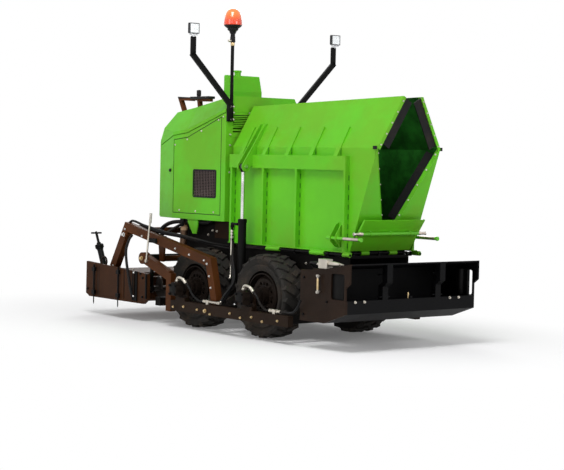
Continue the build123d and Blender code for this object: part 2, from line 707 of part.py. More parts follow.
# ---- apron --------------------------------------------------------------------------------
def apron():
    """Flat apron plate on its hinge knuckles, leaning forwards, with returned side edges."""
    along = Vector(APRON_TOP[0] - APRON_X, 0, APRON_TOP[1] - APRON_Z)
    run = along.length
    lean = degrees(atan2(along.Z, along.X))
    plate = block((30, run), (-APRON_Y, APRON_Y), (-2, 6))
    for y in (-APRON_Y, APRON_Y - 6):
        plate += block((40, run), (y, y + 6), (-2, 16))
    for y in (-168, 168):
        knuckle = rod_y(0, 0, 18, y - 46, y + 46) + block((0, 40), (y - 46, y + 46), (-2, 6))
        plate += knuckle - rod_y(0, 0, 11.05, y - 50, y + 50)
    return Pos(APRON_X, 0, APRON_Z) * Rot(0, -lean, 0) * plate


def apron_bar_place():
    """Centre of the cross tube in front of the apron's middle."""
    along = Vector(APRON_TOP[0] - APRON_X, 0, APRON_TOP[1] - APRON_Z).normalized()
    ahead = Vector(along.Z, 0, -along.X)
    return Vector(APRON_X, 0, APRON_Z) + along * 233 + ahead * (2 + APRON_TUBE_R)


def apron_tube():
    """Sleeve across the apron's face, with a longer rod inside it and three clips."""
    centre = apron_bar_place()
    bar = rod_y(centre.X, centre.Z, APRON_TUBE_R, -APRON_Y - 5, APRON_Y + 5)
    bar += rod_y(centre.X, centre.Z, 13, -432, 432)
    for y in (-243, -5, 233):
        bar += block((centre.X - 8, centre.X + 8), (y - 11, y + 11),
                     (centre.Z, centre.Z + APRON_TUBE_R + 7))
    return bar - apron()


def apron_hinge():
    """Hinge rod of the apron in ears on the chassis nose."""
    rod = rod_y(APRON_X, APRON_Z, 11, -345, 345)
    for y in (-300, 0, 300):
        rod += block((APRON_X - 15, APRON_X + 15), (y - 12, y + 12), (DECK_Z - 12, APRON_Z))
        rod += rod_y(APRON_X, APRON_Z, 18, y - 12, y + 12)
    rod += block((1525, 1575), (-345, 345), (DECK_Z - 12, DECK_Z - 2))
    return rod


# ---- screed -------------------------------------------------------------------------------
def screed_arm():
    """Left goose-neck arm, from its pivot at the lower beam to the screed's top."""
    line = [ARM_PIVOT, (92, 311), (-4, 660), (-1408, 925), (-1661, 500)]
    arm = side_plate(band(line, 88), *ARM_Y)
    arm += rod_y(*ARM_PIVOT, 48, *ARM_Y)
    # foot on the screed and the pin at the arm's highest corner
    arm += side_plate([(-1745, 437.5), (-1600, 435.6), (-1600, 502), (-1745, 502)], *ARM_Y)
    arm += rod_y(-1426, 847, 34, ARM_Y[0], ARM_Y[1] + 14)
    return arm - rod_y(*ARM_PIVOT, 25.05, ARM_Y[0] - 5, ARM_Y[1] + 5)


def screed_arms():
    """Both arms joined by a cross tube, with the brackets of the lift cylinders."""
    arm = screed_arm() + lift_brackets()
    return arm + mirrored(arm) + rod_y(-1250, 895, 32, -ARM_Y[0] - 5, ARM_Y[0] + 5)


def screed_body():
    """Screed box with its wearing plate, turned up at the leading edge."""
    outline = [(-2030, 215), (-1180, 190), (-1120, 215), (-1120, 260), (-1180, 430),
               (-1960, 440), (-2030, 380)]
    body = side_plate(outline, -768, 768)
    room = [(-2016, 228), (-1182, 204), (-1134, 224), (-1134, 258), (-1190, 418),
            (-1954, 428), (-2016, 374)]
    return body - side_plate(room, -756, 756)


def screed_end_plate():
    outline = [(-2050, 215), (-1990, 187), (-985, 183), (-920, 230), (-920, 485),
               (-2045, 543)]
    return side_plate(outline, 770, 800)


def screed_jack():
    """Left depth crank: leaning sleeve, collar, threaded shaft and its crossbar."""
    low, high = Vector(-1839, 700, 437), Vector(-2040, 700, 862)
    lean = Plane(origin=low, z_dir=high - low)
    jack = lean * Pos(0, 0, 150) * Cylinder(22, 240)
    jack += lean * Pos(0, 0, 280) * Cylinder(30, 40)
    jack += lean * Pos(0, 0, 373) * Cylinder(10, 160)
    jack += rod_y(high.X + 14, high.Z - 29, 9, 640, 760)
    return jack + block((-1900, -1800), (672, 728), (440, 510))


def screed_guides():
    """Left slide rods that stand on the end plate, each through two guide blocks."""
    made = []
    for x in (-1878, -1425):
        guide = rod_z(x, 814, 9, 205, 520)
        for z in (235, 470):
            guide += block((x - 24, x + 24), (800.5, 828), (z - 20, z + 20))
        made.append(guide)
    return made


def lift_brackets():
    """Left drop plate under the arm, with the stub bar that the lift cylinder's eye sits on."""
    x, z = LIFT_EYE
    plate = side_plate([(x - 60, 860), (x + 60, 860), (x + 34, z - 34), (x - 34, z - 34)],
                       ARM_Y[0] - 18, ARM_Y[0])
    return plate + rod_y(x, z, 26, LIFT_Y + 24, ARM_Y[0] - 18)


def lift_lug():
    """Left lug under the hood floor that carries a lift cylinder."""
    x, z = LIFT_TOP
    made = None
    for y in (LIFT_Y - 36, LIFT_Y + 24):
        ear = block((x - 30, x + 30), (y, y + 12), (z, HOOD_FLOOR_Z))
        ear += rod_y(x, z, 30, y, y + 12)
        made = ear if made is None else made + ear
    return made + rod_y(x, z, 15, LIFT_Y - 40, LIFT_Y + 40)


# ---- top gear -----------------------------------------------------------------------------
def top_tank():
    """Water tank set into the roof: sloping front and a filler cap."""
    outline = [(-531, 2120), (-421, 2120), (-421, 2290), (-466, 2450), (-531, 2450)]
    tank = side_plate(outline, -200, 185)
    tank = fillet(tank.edges().filter_by(Axis.Y).group_by(Axis.Z)[-1], 14)
    return tank + rod_z(-498, -60, 32, 2445, 2500) - roof_block()


def light_arm():
    """Left lamp arm: foot on the hood's front corner, bent bar out and up to the lamp."""
    line = [(432, 2130), (432, 2160), (870, 2600), (870, 2780)]
    arm = cross_plate(band(line, 40), *LAMP_ARM_X)
    return arm + block(LAMP_ARM_X, (385, HOOD_Y), (1985, 2150))


def work_light():
    x = sum(LAMP_ARM_X) / 2
    return block((x - 30, x + 35), (815, 925), (2780, 2890))


def beacon():
    x, y = BEACON_XY
    dome = rod_z(x, y, 72, 2900, 2990)
    cap = Pos(x, y, 2990) * Sphere(72)
    return dome + (cap & block((x - 80, x + 80), (y - 80, y + 80), (2990, 3080)))


def control_stand():
    """Two bent grab bars over the rear slope, with a flat panel between their upper ends."""
    y0, y1 = -320, -280
    low = side_plate(band([(-1020, 2050), (-1115, 2225), (-900, 2215)], 36), y0, y1)
    high = side_plate(band([(-770, 2080), (-795, 2210), (-600, 2205)], 36), y0, y1)
    bridge = block((-900, -790), (y0, y1), (2203, 2225))
    panel = block((-905, -600), (y0 - 20, y1 + 20), (2226, 2236))
    stick = rod_z(-810, -300, 9, 2236, 2275) + Pos(-810, -300, 2285) * Sphere(22)
    return low + high + bridge + panel + stick - roof_block()


# ---- write the nodes ----------------------------------------------------------------------
plates = chassis_plates()
save("chassis_plates", *plates)
save("crossbeams", *crossbeams())
save("hopper_deck", *hopper_deck())
save("hinge_rods", *wing_hinge_brackets(), apron_hinge())
save("conveyor", *conveyor())
save("side_beams", *side_beams())
save("rear_brackets", *rear_brackets())
save("auger_frame", *auger_frame())
save("auger", *auger())
save("stub_axles", *stub_axles())
save("hub_motors", *hub_motors())
save("front_box", *front_box())
for place, axle_x in (("front", FRONT_AXLE_X), ("rear", REAR_AXLE_X)):
    for name, side in SIDES.items():
        save(f"tyre_{place}_{name}", tyre(axle_x, side * WHEEL_Y))
        save(f"rim_{place}_{name}", rim(axle_x, side))
left_side = hood_side()
save("hood_left", left_side)
save("hood_right", mirrored(left_side))
save("hood_top", hood_top())
save("hood_front", (hood_front() - hood_top()).solids().sort_by(SortBy.VOLUME)[-1])
save("hood_floor", hood_floor())
save("lift_lugs", *both(lift_lug()))
save("rear_door", rear_door())
save("engine_block", block((-830, -310), (-240, 240), (HOOD_FLOOR_Z + 12, 1560)))
save("door_grilles", *both(grille_panel(HOOD_Y - 14, HOOD_Y - 6)))

wing = wing_skin()
frame = wing_frame()
bar = wing_bar()
flap = wing_flaps()
for name, side in SIDES.items():
    turn = mirrored if side < 0 else (lambda shape: shape)
    save(f"wing_{name}", turn(wing))
    save(f"wing_frame_{name}", turn(frame))
    save(f"wing_bar_{name}", turn(bar))
    save(f"wing_flap_{name}", *[turn(strip) for strip in flap])
    barrel = ram_barrel(RAM_BASE_Z, RAM_GLAND_Z, 39, 31, 18, 32, 15, 40)
    save(f"ram_barrel_{name}", turn(Pos(RAM_X, RAM_Y, 0) * barrel + ram_pipe()))
    save(f"ram_hose_{name}", turn(hose(RAM_HOSE)))
    rod = ram_rod(RAM_EYE_Z, 940, 18, 30.9, 32, 50, 15, 28)
    save(f"ram_rod_{name}", Pos(RAM_X, side * RAM_Y, 0) * rod)
    lift = ram_barrel(0, 240, 36, 28, 15, 28, 15, 40)
    save(f"lift_barrel_{name}", hung(side, lift))
    lift_length = hypot(LIFT_EYE[0] - LIFT_TOP[0], LIFT_EYE[1] - LIFT_TOP[1])
    lift_rod = ram_rod(lift_length, 78, 15, 27.9, 28, 30, 14, 22)
    save(f"lift_rod_{name}", hung(side, lift_rod))
save("apron", apron())
save("apron_tube", apron_tube())
save("screed_arms", screed_arms())
guides = screed_guides()
save("screed_body", screed_body())
save("screed_end_plates", *both(screed_end_plate()))
save("screed_jacks", *both(screed_jack()), *guides, *map(mirrored, guides))
save("fittings", *fittings())
save("hoses", *hoses())
save("top_tank", top_tank())
save("lamp_arms", *both(light_arm()), rod_z(*BEACON_XY, 11, 2150, 2900))
save("work_lights", *both(work_light()))
save("beacon", beacon())
save("control_stand", control_stand())
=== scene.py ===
import bpy
import bmesh
import json
from math import cos, hypot, pi, radians, sin
from mathutils import Matrix, Vector


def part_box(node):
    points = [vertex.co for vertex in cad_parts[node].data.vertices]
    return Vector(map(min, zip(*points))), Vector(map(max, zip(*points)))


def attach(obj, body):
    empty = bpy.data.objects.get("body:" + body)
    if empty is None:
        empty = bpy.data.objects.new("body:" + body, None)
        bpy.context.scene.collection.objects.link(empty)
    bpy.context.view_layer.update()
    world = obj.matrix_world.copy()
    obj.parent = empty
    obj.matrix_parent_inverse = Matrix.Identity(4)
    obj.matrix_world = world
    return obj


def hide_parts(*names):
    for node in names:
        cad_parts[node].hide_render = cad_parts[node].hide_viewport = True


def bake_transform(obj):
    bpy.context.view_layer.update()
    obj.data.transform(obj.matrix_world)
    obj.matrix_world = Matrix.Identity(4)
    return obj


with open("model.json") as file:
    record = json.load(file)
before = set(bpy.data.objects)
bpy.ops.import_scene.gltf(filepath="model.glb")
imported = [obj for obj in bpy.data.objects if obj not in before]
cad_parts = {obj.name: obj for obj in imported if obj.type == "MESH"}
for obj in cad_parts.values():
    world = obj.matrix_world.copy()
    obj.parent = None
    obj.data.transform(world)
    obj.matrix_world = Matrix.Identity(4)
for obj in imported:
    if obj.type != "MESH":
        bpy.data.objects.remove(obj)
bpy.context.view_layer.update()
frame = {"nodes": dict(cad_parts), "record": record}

NODES = frame["nodes"]
SIDES = {"right": -1, "left": 1}
WHEEL_R = 0.3875
TYRE_WIDTH = 0.264
AXLES_X = (0.679, -0.362)


# ---- camera, light and floor
def aim_camera(place, azimuth, elevation, roll, lens):
    """Camera at a place, looking back along an azimuth and elevation, turned by a roll."""
    az, el, turn = radians(azimuth), radians(elevation), radians(roll)
    back = Vector((sin(az) * cos(el), -cos(az) * cos(el), sin(el)))
    right = (-back).cross(Vector((0, 0, 1))).normalized()
    up = right.cross(-back)
    x_axis = right * cos(turn) + up * sin(turn)
    y_axis = up * cos(turn) - right * sin(turn)
    data = bpy.data.cameras.new("view")
    data.lens = lens
    data.sensor_width = 36
    camera = bpy.data.objects.new("view", data)
    bpy.context.scene.collection.objects.link(camera)
    turned = Matrix((x_axis, y_axis, back)).transposed().to_4x4()
    camera.matrix_world = Matrix.Translation(place) @ turned
    bpy.context.scene.camera = camera


def area_light(name, place, target, size, power):
    data = bpy.data.lights.new(name, "AREA")
    data.energy = power
    data.size = size
    lamp = bpy.data.objects.new(name, data)
    bpy.context.scene.collection.objects.link(lamp)
    lamp.location = place
    lamp.rotation_euler = (Vector(target) - Vector(place)).to_track_quat("-Z", "Y").to_euler()


# ---- shader maths
class Value:
    """A shader socket on which Python arithmetic adds Math nodes."""

    def __init__(self, finish, socket):
        self.finish = finish
        self.socket = socket

    def maths(self, operation, *others):
        inputs = dict(enumerate((self, *others)))
        return self.finish.node("Math", {"operation": operation}, inputs)

    def __add__(self, other):
        return self.maths("ADD", other)

    __radd__ = __add__

    def __sub__(self, other):
        return self.maths("SUBTRACT", other)

    def __rsub__(self, other):
        return self.finish.node("Math", {"operation": "SUBTRACT"}, {0: other, 1: self})

    def __mul__(self, other):
        return self.maths("MULTIPLY", other)

    __rmul__ = __mul__

    def __gt__(self, other):
        return self.maths("GREATER_THAN", other)

    def __lt__(self, other):
        return self.maths("LESS_THAN", other)

    def clipped(self):
        return self.finish.node("Clamp", {}, {"Value": self})


class Finish:
    """One material with its Principled shader, and the nodes that feed it."""

    def __init__(self, name, colour, roughness, metallic=0.0, coat=0.0, shine=0.5):
        self.material = bpy.data.materials.new(name)
        self.material.use_nodes = True
        self.tree = self.material.node_tree
        self.shader = self.tree.nodes["Principled BSDF"]
        self.put("Base Color", (*colour, 1))
        self.put("Roughness", roughness)
        self.put("Metallic", metallic)
        self.put("Coat Weight", coat)
        self.put("Coat Roughness", 0.12)
        self.put("Specular IOR Level", shine)

    def node(self, kind, settings, inputs, output=0):
        """Adds a node, sets it up, feeds its inputs and hands back one of its outputs."""
        made = self.tree.nodes.new("ShaderNode" + kind)
        for key, value in settings.items():
            setattr(made, key, value)
        for key, value in inputs.items():
            self.feed(made.inputs[key], value)
        return Value(self, made.outputs[output])

    def feed(self, socket, value):
        if isinstance(value, Value):
            self.tree.links.new(value.socket, socket)
        else:
            socket.default_value = value

    def put(self, socket, value):
        self.feed(self.shader.inputs[socket], value)

    def place(self):
        """Object coordinates."""
        return self.node("TexCoord", {}, {}, "Object")

    def axes(self):
        """The three object coordinates as numbers."""
        made = self.tree.nodes.new("ShaderNodeSeparateXYZ")
        self.feed(made.inputs[0], self.place())
        return [Value(self, made.outputs[i]) for i in range(3)]

    def noise(self, scale, detail=4.0, rough=0.55):
        return self.node("TexNoise", {}, {"Vector": self.place(), "Scale": scale,
                                          "Detail": detail, "Roughness": rough})

    def mix(self, mask, low, high):
        """Colour between two colours."""
        return self.node("Mix", {"data_type": "RGBA"}, {0: mask, 6: low, 7: high}, 2)

    def mottle(self, value, dark, light, low=0.35, high=0.7):
        """Colour that runs from dark to light where the noise is between low and high."""
        return self.mix(self.band(value, low, high), dark, light)

    def band(self, value, low, high):
        """0 below low, 1 above high, smooth between."""
        return self.node("MapRange", {"interpolation_type": "SMOOTHSTEP"},
                         {0: value, 1: low, 2: high, 3: 0.0, 4: 1.0})

    def bump(self, height, strength, distance):
        out = self.node("Bump", {}, {"Height": height, "Strength": strength,
                                     "Distance": distance}, "Normal")
        self.put("Normal", out)


def tone(colour, factor):
    return tuple(min(c * factor, 1) for c in colour[:3]) + (1,)


# ---- finishes
WHITE = (1, 1, 1, 1)
GREEN = (0.118, 0.52, 0.013)
OLIVE = (0.155, 0.37, 0.018, 1)
FOLD_HEIGHT = 1.75
WALL_Y = 0.376
SLOPE_ACROSS, SLOPE_UP = 0.8666, 0.499
MOUTH_X, MOUTH_LEAN = 1.915, 0.3595


def gloss_paint(name, colour, roughness=0.36, inside=None):
    """Sprayed paint: faint mottling, olive stains and orange peel.

    An inside is the colour behind the hopper's walls and its mouth: painted shade, darker than the
    outside, mottled with scraped wear.
    """
    f = Finish(name, colour, roughness, coat=0.06, shine=0.2)
    wide = f.noise(1.7, 5)
    middle = f.noise(7, 6, 0.65)
    fine = f.noise(38, 3)
    grain = f.noise(260, 2)
    body = f.mottle(wide, tone(colour, 0.93), tone(colour, 1.06))
    stain = (f.band(f.noise(1.1, 3) * 0.8 + middle * 0.3, 0.46, 0.66) * 0.55).clipped()
    body = f.mix(stain, body, OLIVE)
    if inside:
        x, y, z = f.axes()
        out = y.maths("ABSOLUTE") - WALL_Y
        wall = out.maths("MAXIMUM", SLOPE_ACROSS * out + SLOPE_UP * (z - FOLD_HEIGHT))
        front = x - MOUTH_X - MOUTH_LEAN * (z.maths("MINIMUM", FOLD_HEIGHT) - FOLD_HEIGHT)
        # painted shade of the hopper's inside, mottled with scraped wear
        painted_shade_and_wear = f.mottle(middle, tone(inside, 0.6), tone(inside, 1.5))
        body = f.mix((wall < -0.004) * (front < -0.022), body, painted_shade_and_wear)
    f.put("Base Color", body)
    f.put("Roughness", roughness + 0.08 * fine + stain * 0.3)
    f.bump(fine * 0.25 + grain * 0.1, 0.12, 0.002)
    return f.material


def worn_paint(name, colour, roughness, chips=0.5, bare=(0.32, 0.24, 0.18), change=None):
    """Working paint: scuffs and chips down to a paler ground, dirt in patches.

    A change is a second colour and the test on x, y and z that says where it is.
    """
    f = Finish(name, colour, roughness, shine=0.08)
    wide = f.noise(3.1, 6, 0.62)
    fine = f.noise(45, 6, 0.7)
    speck = f.noise(150, 3)
    dirt = f.band(wide, 0.3, 0.75)
    body = f.mix(dirt, tone(colour, 0.75), tone(colour, 1.3))
    if change:
        other, where = change
        body = f.mix(where(*f.axes()), body, f.mix(dirt, tone(other, 0.7), tone(other, 1.35)))
    scuff = f.band(fine * 0.6 + wide * 0.5, 0.72 - 0.12 * chips, 0.8) * chips
    f.put("Base Color", f.mix(scuff.clipped(), body, (*bare, 1)))
    f.put("Roughness", roughness + 0.15 * wide + 0.1 * speck - 0.08)
    f.bump(fine * 0.5 + speck * 0.3, 0.25, 0.003)
    return f.material


def bare_metal(name, colour, roughness, change=None):
    """Metal with uneven polish. A change is a paint and the test that says where it is."""
    f = Finish(name, colour, roughness, metallic=1.0)
    wide = f.noise(8, 5)
    fine = f.noise(120, 4)
    body = f.mottle(wide, tone(colour, 0.8), tone(colour, 1.12))
    if change:
        paint, where = change
        mask = where(*f.axes())
        body = f.mix(mask, body, (*paint, 1))
        f.put("Metallic", 1 - mask)
    f.put("Base Color", body)
    f.put("Roughness", roughness + 0.16 * fine + 0.12 * wide - 0.1)
    f.bump(fine, 0.1, 0.001)
    return f.material


def black_rubber(name, colour=(0.006, 0.006, 0.0065), roughness=0.5, dusty=0.15):
    """Rubber or black plastic under a thin film of dust."""
    f = Finish(name, colour, roughness, shine=0.14)
    wide = f.noise(5, 5)
    fine = f.noise(90, 4)
    film = (f.band(wide * 0.7 + fine * 0.4, 0.5, 0.8) * dusty).clipped()
    f.put("Base Color", f.mix(film, (*colour, 1), (0.11, 0.075, 0.05, 1)))
    f.put("Roughness", roughness + 0.15 * fine)
    f.bump(fine, 0.15, 0.002)
    return f.material


def lens_glass(name):
    """Lit cups behind a clear lens: almost white, with a little of their own light."""
    f = Finish(name, (0.72, 0.74, 0.76), 0.3, coat=0.3)
    f.put("Base Color", f.mottle(f.noise(40, 2), (0.66, 0.68, 0.7, 1), (0.8, 0.82, 0.84, 1), 0.3))
    f.put("Emission Color", f.mottle(f.noise(60, 2), (0.7, 0.72, 0.75, 1), WHITE, 0.3))
    f.put("Emission Strength", 0.3)
    return f.material


def amber_plastic(name):
    """Ribbed amber dome with a painted highlight: paler and more orange towards the top, deeper and
    redder low down, in its colour and its faint glow.
    """
    f = Finish(name, (0.82, 0.1, 0.012), 0.12, coat=0.8)
    # painted highlight: colour and glow grow paler and more orange towards the top of the dome
    up = f.band(f.axes()[2], 2.92, 3.03)
    f.put("Base Color", f.mix(up, (0.72, 0.045, 0.006, 1), (0.95, 0.2, 0.03, 1)))
    f.put("Emission Color", f.mix(up, (0.6, 0.04, 0.0, 1), (0.9, 0.22, 0.02, 1)))
    f.put("Emission Strength", 0.18)
    f.put("Roughness", 0.12 + 0.1 * f.noise(40, 3))
    return f.material


PALE_STEEL = (0.62, 0.54, 0.48)
PAINTED_BLACK = (0.006, 0.006, 0.006)
FINISHES = {
    "green_paint": (gloss_paint, GREEN),
    # dark green inside the hopper: painted shade with scraped wear
    "hopper_paint": (gloss_paint, GREEN, 0.36, (0.014, 0.11, 0.012)),
    # weld beads darker green than the paint: painted shade along the joints
    "weld_green": (worn_paint, (0.03, 0.17, 0.012), 0.4, 0.2, (0.06, 0.2, 0.03)),
    "brown_paint": (worn_paint, (0.072, 0.023, 0.006), 0.45, 0.35, (0.18, 0.1, 0.06)),
    "stand_paint": (worn_paint, (0.085, 0.026, 0.007), 0.45, 0.3, (0.16, 0.09, 0.06),
                    (PAINTED_BLACK, lambda x, y, z: z > 2.224)),
    "screed_brown": (worn_paint, (0.042, 0.015, 0.005), 0.5, 0.3, (0.11, 0.07, 0.05)),
    "dark_brown": (worn_paint, (0.017, 0.009, 0.005), 0.5, 0.3, (0.07, 0.045, 0.03)),
    # near-black as painted shade of the chassis plates and crossbeams under the hood; brown paint
    # only forward of x -0.42 and above z 0.86
    "soot_brown": (worn_paint, (0.004, 0.0032, 0.0028), 0.6, 0.2, (0.025, 0.016, 0.01),
                   ((0.02, 0.009, 0.0045), lambda x, y, z: (x > -0.42) * (z > 0.86))),
    "black_paint": (worn_paint, (0.004, 0.0037, 0.0037), 0.42, 0.15, (0.04, 0.03, 0.022)),
    "cheek_paint": (worn_paint, (0.0022, 0.0022, 0.0026), 0.45, 0.12, (0.025, 0.02, 0.015),
                    ((0.017, 0.009, 0.0055), lambda x, y, z: y < -0.745)),
    "rim_paint": (worn_paint, (0.012, 0.008, 0.006), 0.5, 0.3, (0.06, 0.03, 0.018)),
    "steel": (bare_metal, (0.46, 0.43, 0.4), 0.4),
    "dark_steel": (bare_metal, (0.07, 0.06, 0.055), 0.5),
    "bar_steel": (bare_metal, PALE_STEEL, 0.35,
                  (GREEN, lambda x, y, z: (x < 1.6) + (x > 1.798))),
    "tube_steel": (bare_metal, PALE_STEEL, 0.35,
                   (GREEN, lambda x, y, z: y.maths("ABSOLUTE") < 0.333)),
    "dusty_wire": (worn_paint, (0.2, 0.15, 0.14), 0.6, 0.5),
    "chrome": (bare_metal, (0.7, 0.7, 0.68), 0.16,
               (PAINTED_BLACK, lambda x, y, z: (z > 1.512) * (x > 0))),
    "bright": (bare_metal, (0.8, 0.8, 0.78), 0.2),
    "barrel_brown": (bare_metal, (0.2, 0.12, 0.08), 0.45,
                     ((0.42, 0.27, 0.15), lambda x, y, z: (z > 0.915) * (z < 0.97))),
    "zinc": (bare_metal, (0.58, 0.54, 0.47), 0.36),
    "brass": (bare_metal, (0.66, 0.5, 0.27), 0.36),
    "pale_grip": (worn_paint, (0.5, 0.47, 0.42), 0.6, 0.3, (0.3, 0.25, 0.2)),
    "lamp_silver": (bare_metal, (0.62, 0.63, 0.65), 0.3),
    "lamp_grey": (worn_paint, (0.16, 0.16, 0.17), 0.4, 0.2),
    "lens": (lens_glass,),
    "tyre": (black_rubber, (0.026, 0.024, 0.022), 0.75, 0.6),
    "rubber": (black_rubber,),
    "amber": (amber_plastic,),
    "black_plastic": (black_rubber, (0.009, 0.009, 0.01), 0.4, 0.1),
    "engine": (bare_metal, (0.1, 0.1, 0.1), 0.5),
}
NODE_FINISHES = {
    "hopper_paint": ["wing_left", "wing_right"],
    "soot_brown": ["chassis_plates", "crossbeams"],
    "brown_paint": ["rear_brackets"],
    "dark_brown": ["side_beams"],
    "screed_brown": ["screed_end_plates", "screed_body"],
    "stand_paint": ["control_stand"],
    "cheek_paint": ["front_box"],
    "dark_steel": ["auger", "conveyor", "stub_axles"],
    "rim_paint": ["hub_motors", "rim_front_left", "rim_front_right", "rim_rear_left",
                  "rim_rear_right"],
    "bar_steel": ["wing_bar_left", "wing_bar_right"],
    "tube_steel": ["apron_tube"],
    "barrel_brown": ["lift_barrel_left", "lift_barrel_right"],
}


def dress_nodes():
    """Gives every CAD node the finish of its slot, or its own from the table."""
    finish = {part["node"]: part["material_slot"] for part in frame["record"]["subparts"]}
    finish.update({node: name for name, nodes in NODE_FINISHES.items() for node in nodes})
    for node, thing in NODES.items():
        thing.data.materials.clear()
        thing.data.materials.append(FINISH[finish[node]])


# ---- studio
def studio_lights():
    area_light("key", (3.5, -4.8, 8.8), (0, 0, 1.2), 4.0, 590)
    area_light("front", (9, 1, 3.6), (1, 0, 1.0), 3.0, 170)
    area_light("side", (1.0, -9.5, 4.0), (0, 0, 1.0), 4.0, 150)
    area_light("rear", (-7, 5, 6), (0, 0, 1.2), 5.0, 300)


def seen_rays(tree):
    """1 for the rays that show the background: camera, glossy and transmission."""
    path = tree.nodes.new("ShaderNodeLightPath")
    total = path.outputs["Is Camera Ray"]
    for name in ("Is Glossy Ray", "Is Transmission Ray"):
        more = tree.nodes.new("ShaderNodeMath")
        more.operation = "MAXIMUM"
        tree.links.new(total, more.inputs[0])
        tree.links.new(path.outputs[name], more.inputs[1])
        total = more.outputs[0]
    return total


def shader_mix(tree, mask, low, high, output):
    """Mixes two shaders by a mask, into the tree's output node."""
    both = tree.nodes.new("ShaderNodeMixShader")
    for i, socket in enumerate((mask, low, high)):
        tree.links.new(socket, both.inputs[i])
    tree.links.new(both.outputs[0], tree.nodes[output].inputs[0])


def studio_world():
    """Soft white light all round, and plain white where it is looked at."""
    scene = bpy.context.scene
    scene.view_settings.view_transform = "Standard"
    scene.world = bpy.data.worlds.new("studio")
    scene.world.use_nodes = True
    sky = scene.world.node_tree
    soft, white = sky.nodes["Background"], sky.nodes.new("ShaderNodeBackground")
    for light, strength in ((soft, 0.22), (white, 1.0)):
        light.inputs["Color"].default_value = WHITE
        light.inputs["Strength"].default_value = strength
    shader_mix(sky, seen_rays(sky), soft.outputs[0], white.outputs[0], "World Output")


def studio_floor():
    """Pale floor that keeps the shadow near the machine and fades to plain white outwards."""
    bpy.ops.object.select_all(action="DESELECT")
    bpy.ops.mesh.primitive_plane_add(size=160)
    floor = bpy.context.object
    floor.name = "studio_floor"
    pale = Finish("pale_floor", (0.9, 0.9, 0.91), 0.95, shine=0.1)
    pale.put("Emission Color", WHITE)
    pale.put("Emission Strength", 0.12)
    x, y, _ = pale.axes()
    reach = ((x * x) * 0.42 + y * y).maths("POWER", 0.5)
    white = pale.tree.nodes.new("ShaderNodeEmission")
    white.inputs["Strength"].default_value = 1.0
    shown = Value(pale, seen_rays(pale.tree)) * pale.band(reach, 1.2, 3.0)
    shader_mix(pale.tree, shown.socket, pale.shader.outputs[0], white.outputs[0],
               "Material Output")
    floor.data.materials.append(pale.material)


# ---- modelling
def alone(piece):
    bpy.ops.object.select_all(action="DESELECT")
    piece.select_set(True)
    bpy.context.view_layer.objects.active = piece


def settle(piece):
    """Moves the piece's place into its mesh."""
    alone(piece)
    bpy.ops.object.transform_apply(location=True, rotation=True, scale=True)
    return piece


def finished(name, round_by=0.0):
    """Names the form that was just added, settles it and rounds its edges."""
    piece = bpy.context.object
    piece.name = name
    settle(piece)
    if round_by:
        round_edges(piece, round_by)
    return piece


def block(name, low, high, round_by=0.0):
    """Bar or plate between two corners, with its edges rounded."""
    low, high = Vector(low), Vector(high)
    bpy.ops.object.select_all(action="DESELECT")
    bpy.ops.mesh.primitive_cube_add(size=1, location=(low + high) / 2, scale=high - low)
    return finished(name, round_by)


def rod(name, start, end, radius, sides=24, round_by=0.0):
    """Round bar from one point to another."""
    start, end = Vector(start), Vector(end)
    run = end - start
    bpy.ops.object.select_all(action="DESELECT")
    bpy.ops.mesh.primitive_cylinder_add(vertices=sides, radius=radius, depth=run.length,
                                        location=(start + end) / 2,
                                        rotation=run.to_track_quat("Z", "Y").to_euler())
    return finished(name, round_by)


def inner_steps(low, high, parts):
    """The places that split a stretch into equal parts."""
    return [low + (high - low) * i / parts for i in range(1, parts)]


def strip(name, start, end, width, thickness=0.0016):
    """Thin flat strip between two points, in the upright plane that holds them."""
    start, end = Vector(start), Vector(end)
    run = end - start
    along = run.normalized()
    across = Vector((0, 1, 0)) if abs(run.y) < 0.001 else Vector((1, 0, 0))
    turn = Matrix((along, across, along.cross(across))).transposed().to_4x4()
    size = Matrix.Diagonal((run.length + width, thickness, width, 1))
    bpy.ops.object.select_all(action="DESELECT")
    bpy.ops.mesh.primitive_cube_add(size=1, location=(start + end) / 2)
    bpy.context.object.matrix_world = Matrix.Translation((start + end) / 2) @ turn @ size
    piece = finished(name)
    inset(piece, lambda centre, normal: abs(normal.dot(across)) > 0.9, width * 0.2)
    return piece


def round_edges(piece, width, segments=2):
    alone(piece)
    edge = piece.modifiers.new("round", "BEVEL")
    edge.width = width
    edge.segments = segments
    edge.limit_method = "ANGLE"
    edge.angle_limit = radians(32)
    bpy.ops.object.modifier_apply(modifier=edge.name)


def open_up(piece, kind="FACE"):
    """Opens the piece for editing with nothing selected."""
    alone(piece)
    bpy.ops.object.mode_set(mode="EDIT")
    bpy.ops.mesh.select_mode(type=kind)
    bpy.ops.mesh.select_all(action="DESELECT")
    return bmesh.from_edit_mesh(piece.data)


def pick(piece, test):
    """Opens the piece with only those faces selected whose centre and normal pass the test."""
    for face in open_up(piece).faces:
        face.select_set(bool(test(face.calc_center_median(), face.normal)))
    bmesh.update_edit_mesh(piece.data)


def shut():
    bpy.ops.object.mode_set(mode="OBJECT")


def inset(piece, test, thickness, depth=0.0):
    """Draws a border inside the chosen faces and moves them along their normals."""
    pick(piece, test)
    bpy.ops.mesh.inset(thickness=thickness, depth=depth)
    shut()
    return piece


def pull(piece, test, move, scale=None):
    """Extrudes the chosen faces along a move."""
    pick(piece, test)
    bpy.ops.mesh.extrude_region_move(TRANSFORM_OT_translate={"value": move})
    if scale:
        bpy.ops.transform.resize(value=scale)
    shut()


def cut_away(piece, test):
    pick(piece, test)
    bpy.ops.mesh.delete(type="FACE")
    shut()


def facing(axis, sign=1):
    """Test for faces that look along an axis; a sign of 0 takes both ways."""
    return lambda centre, normal: (normal[axis] * sign if sign else abs(normal[axis])) > 0.9


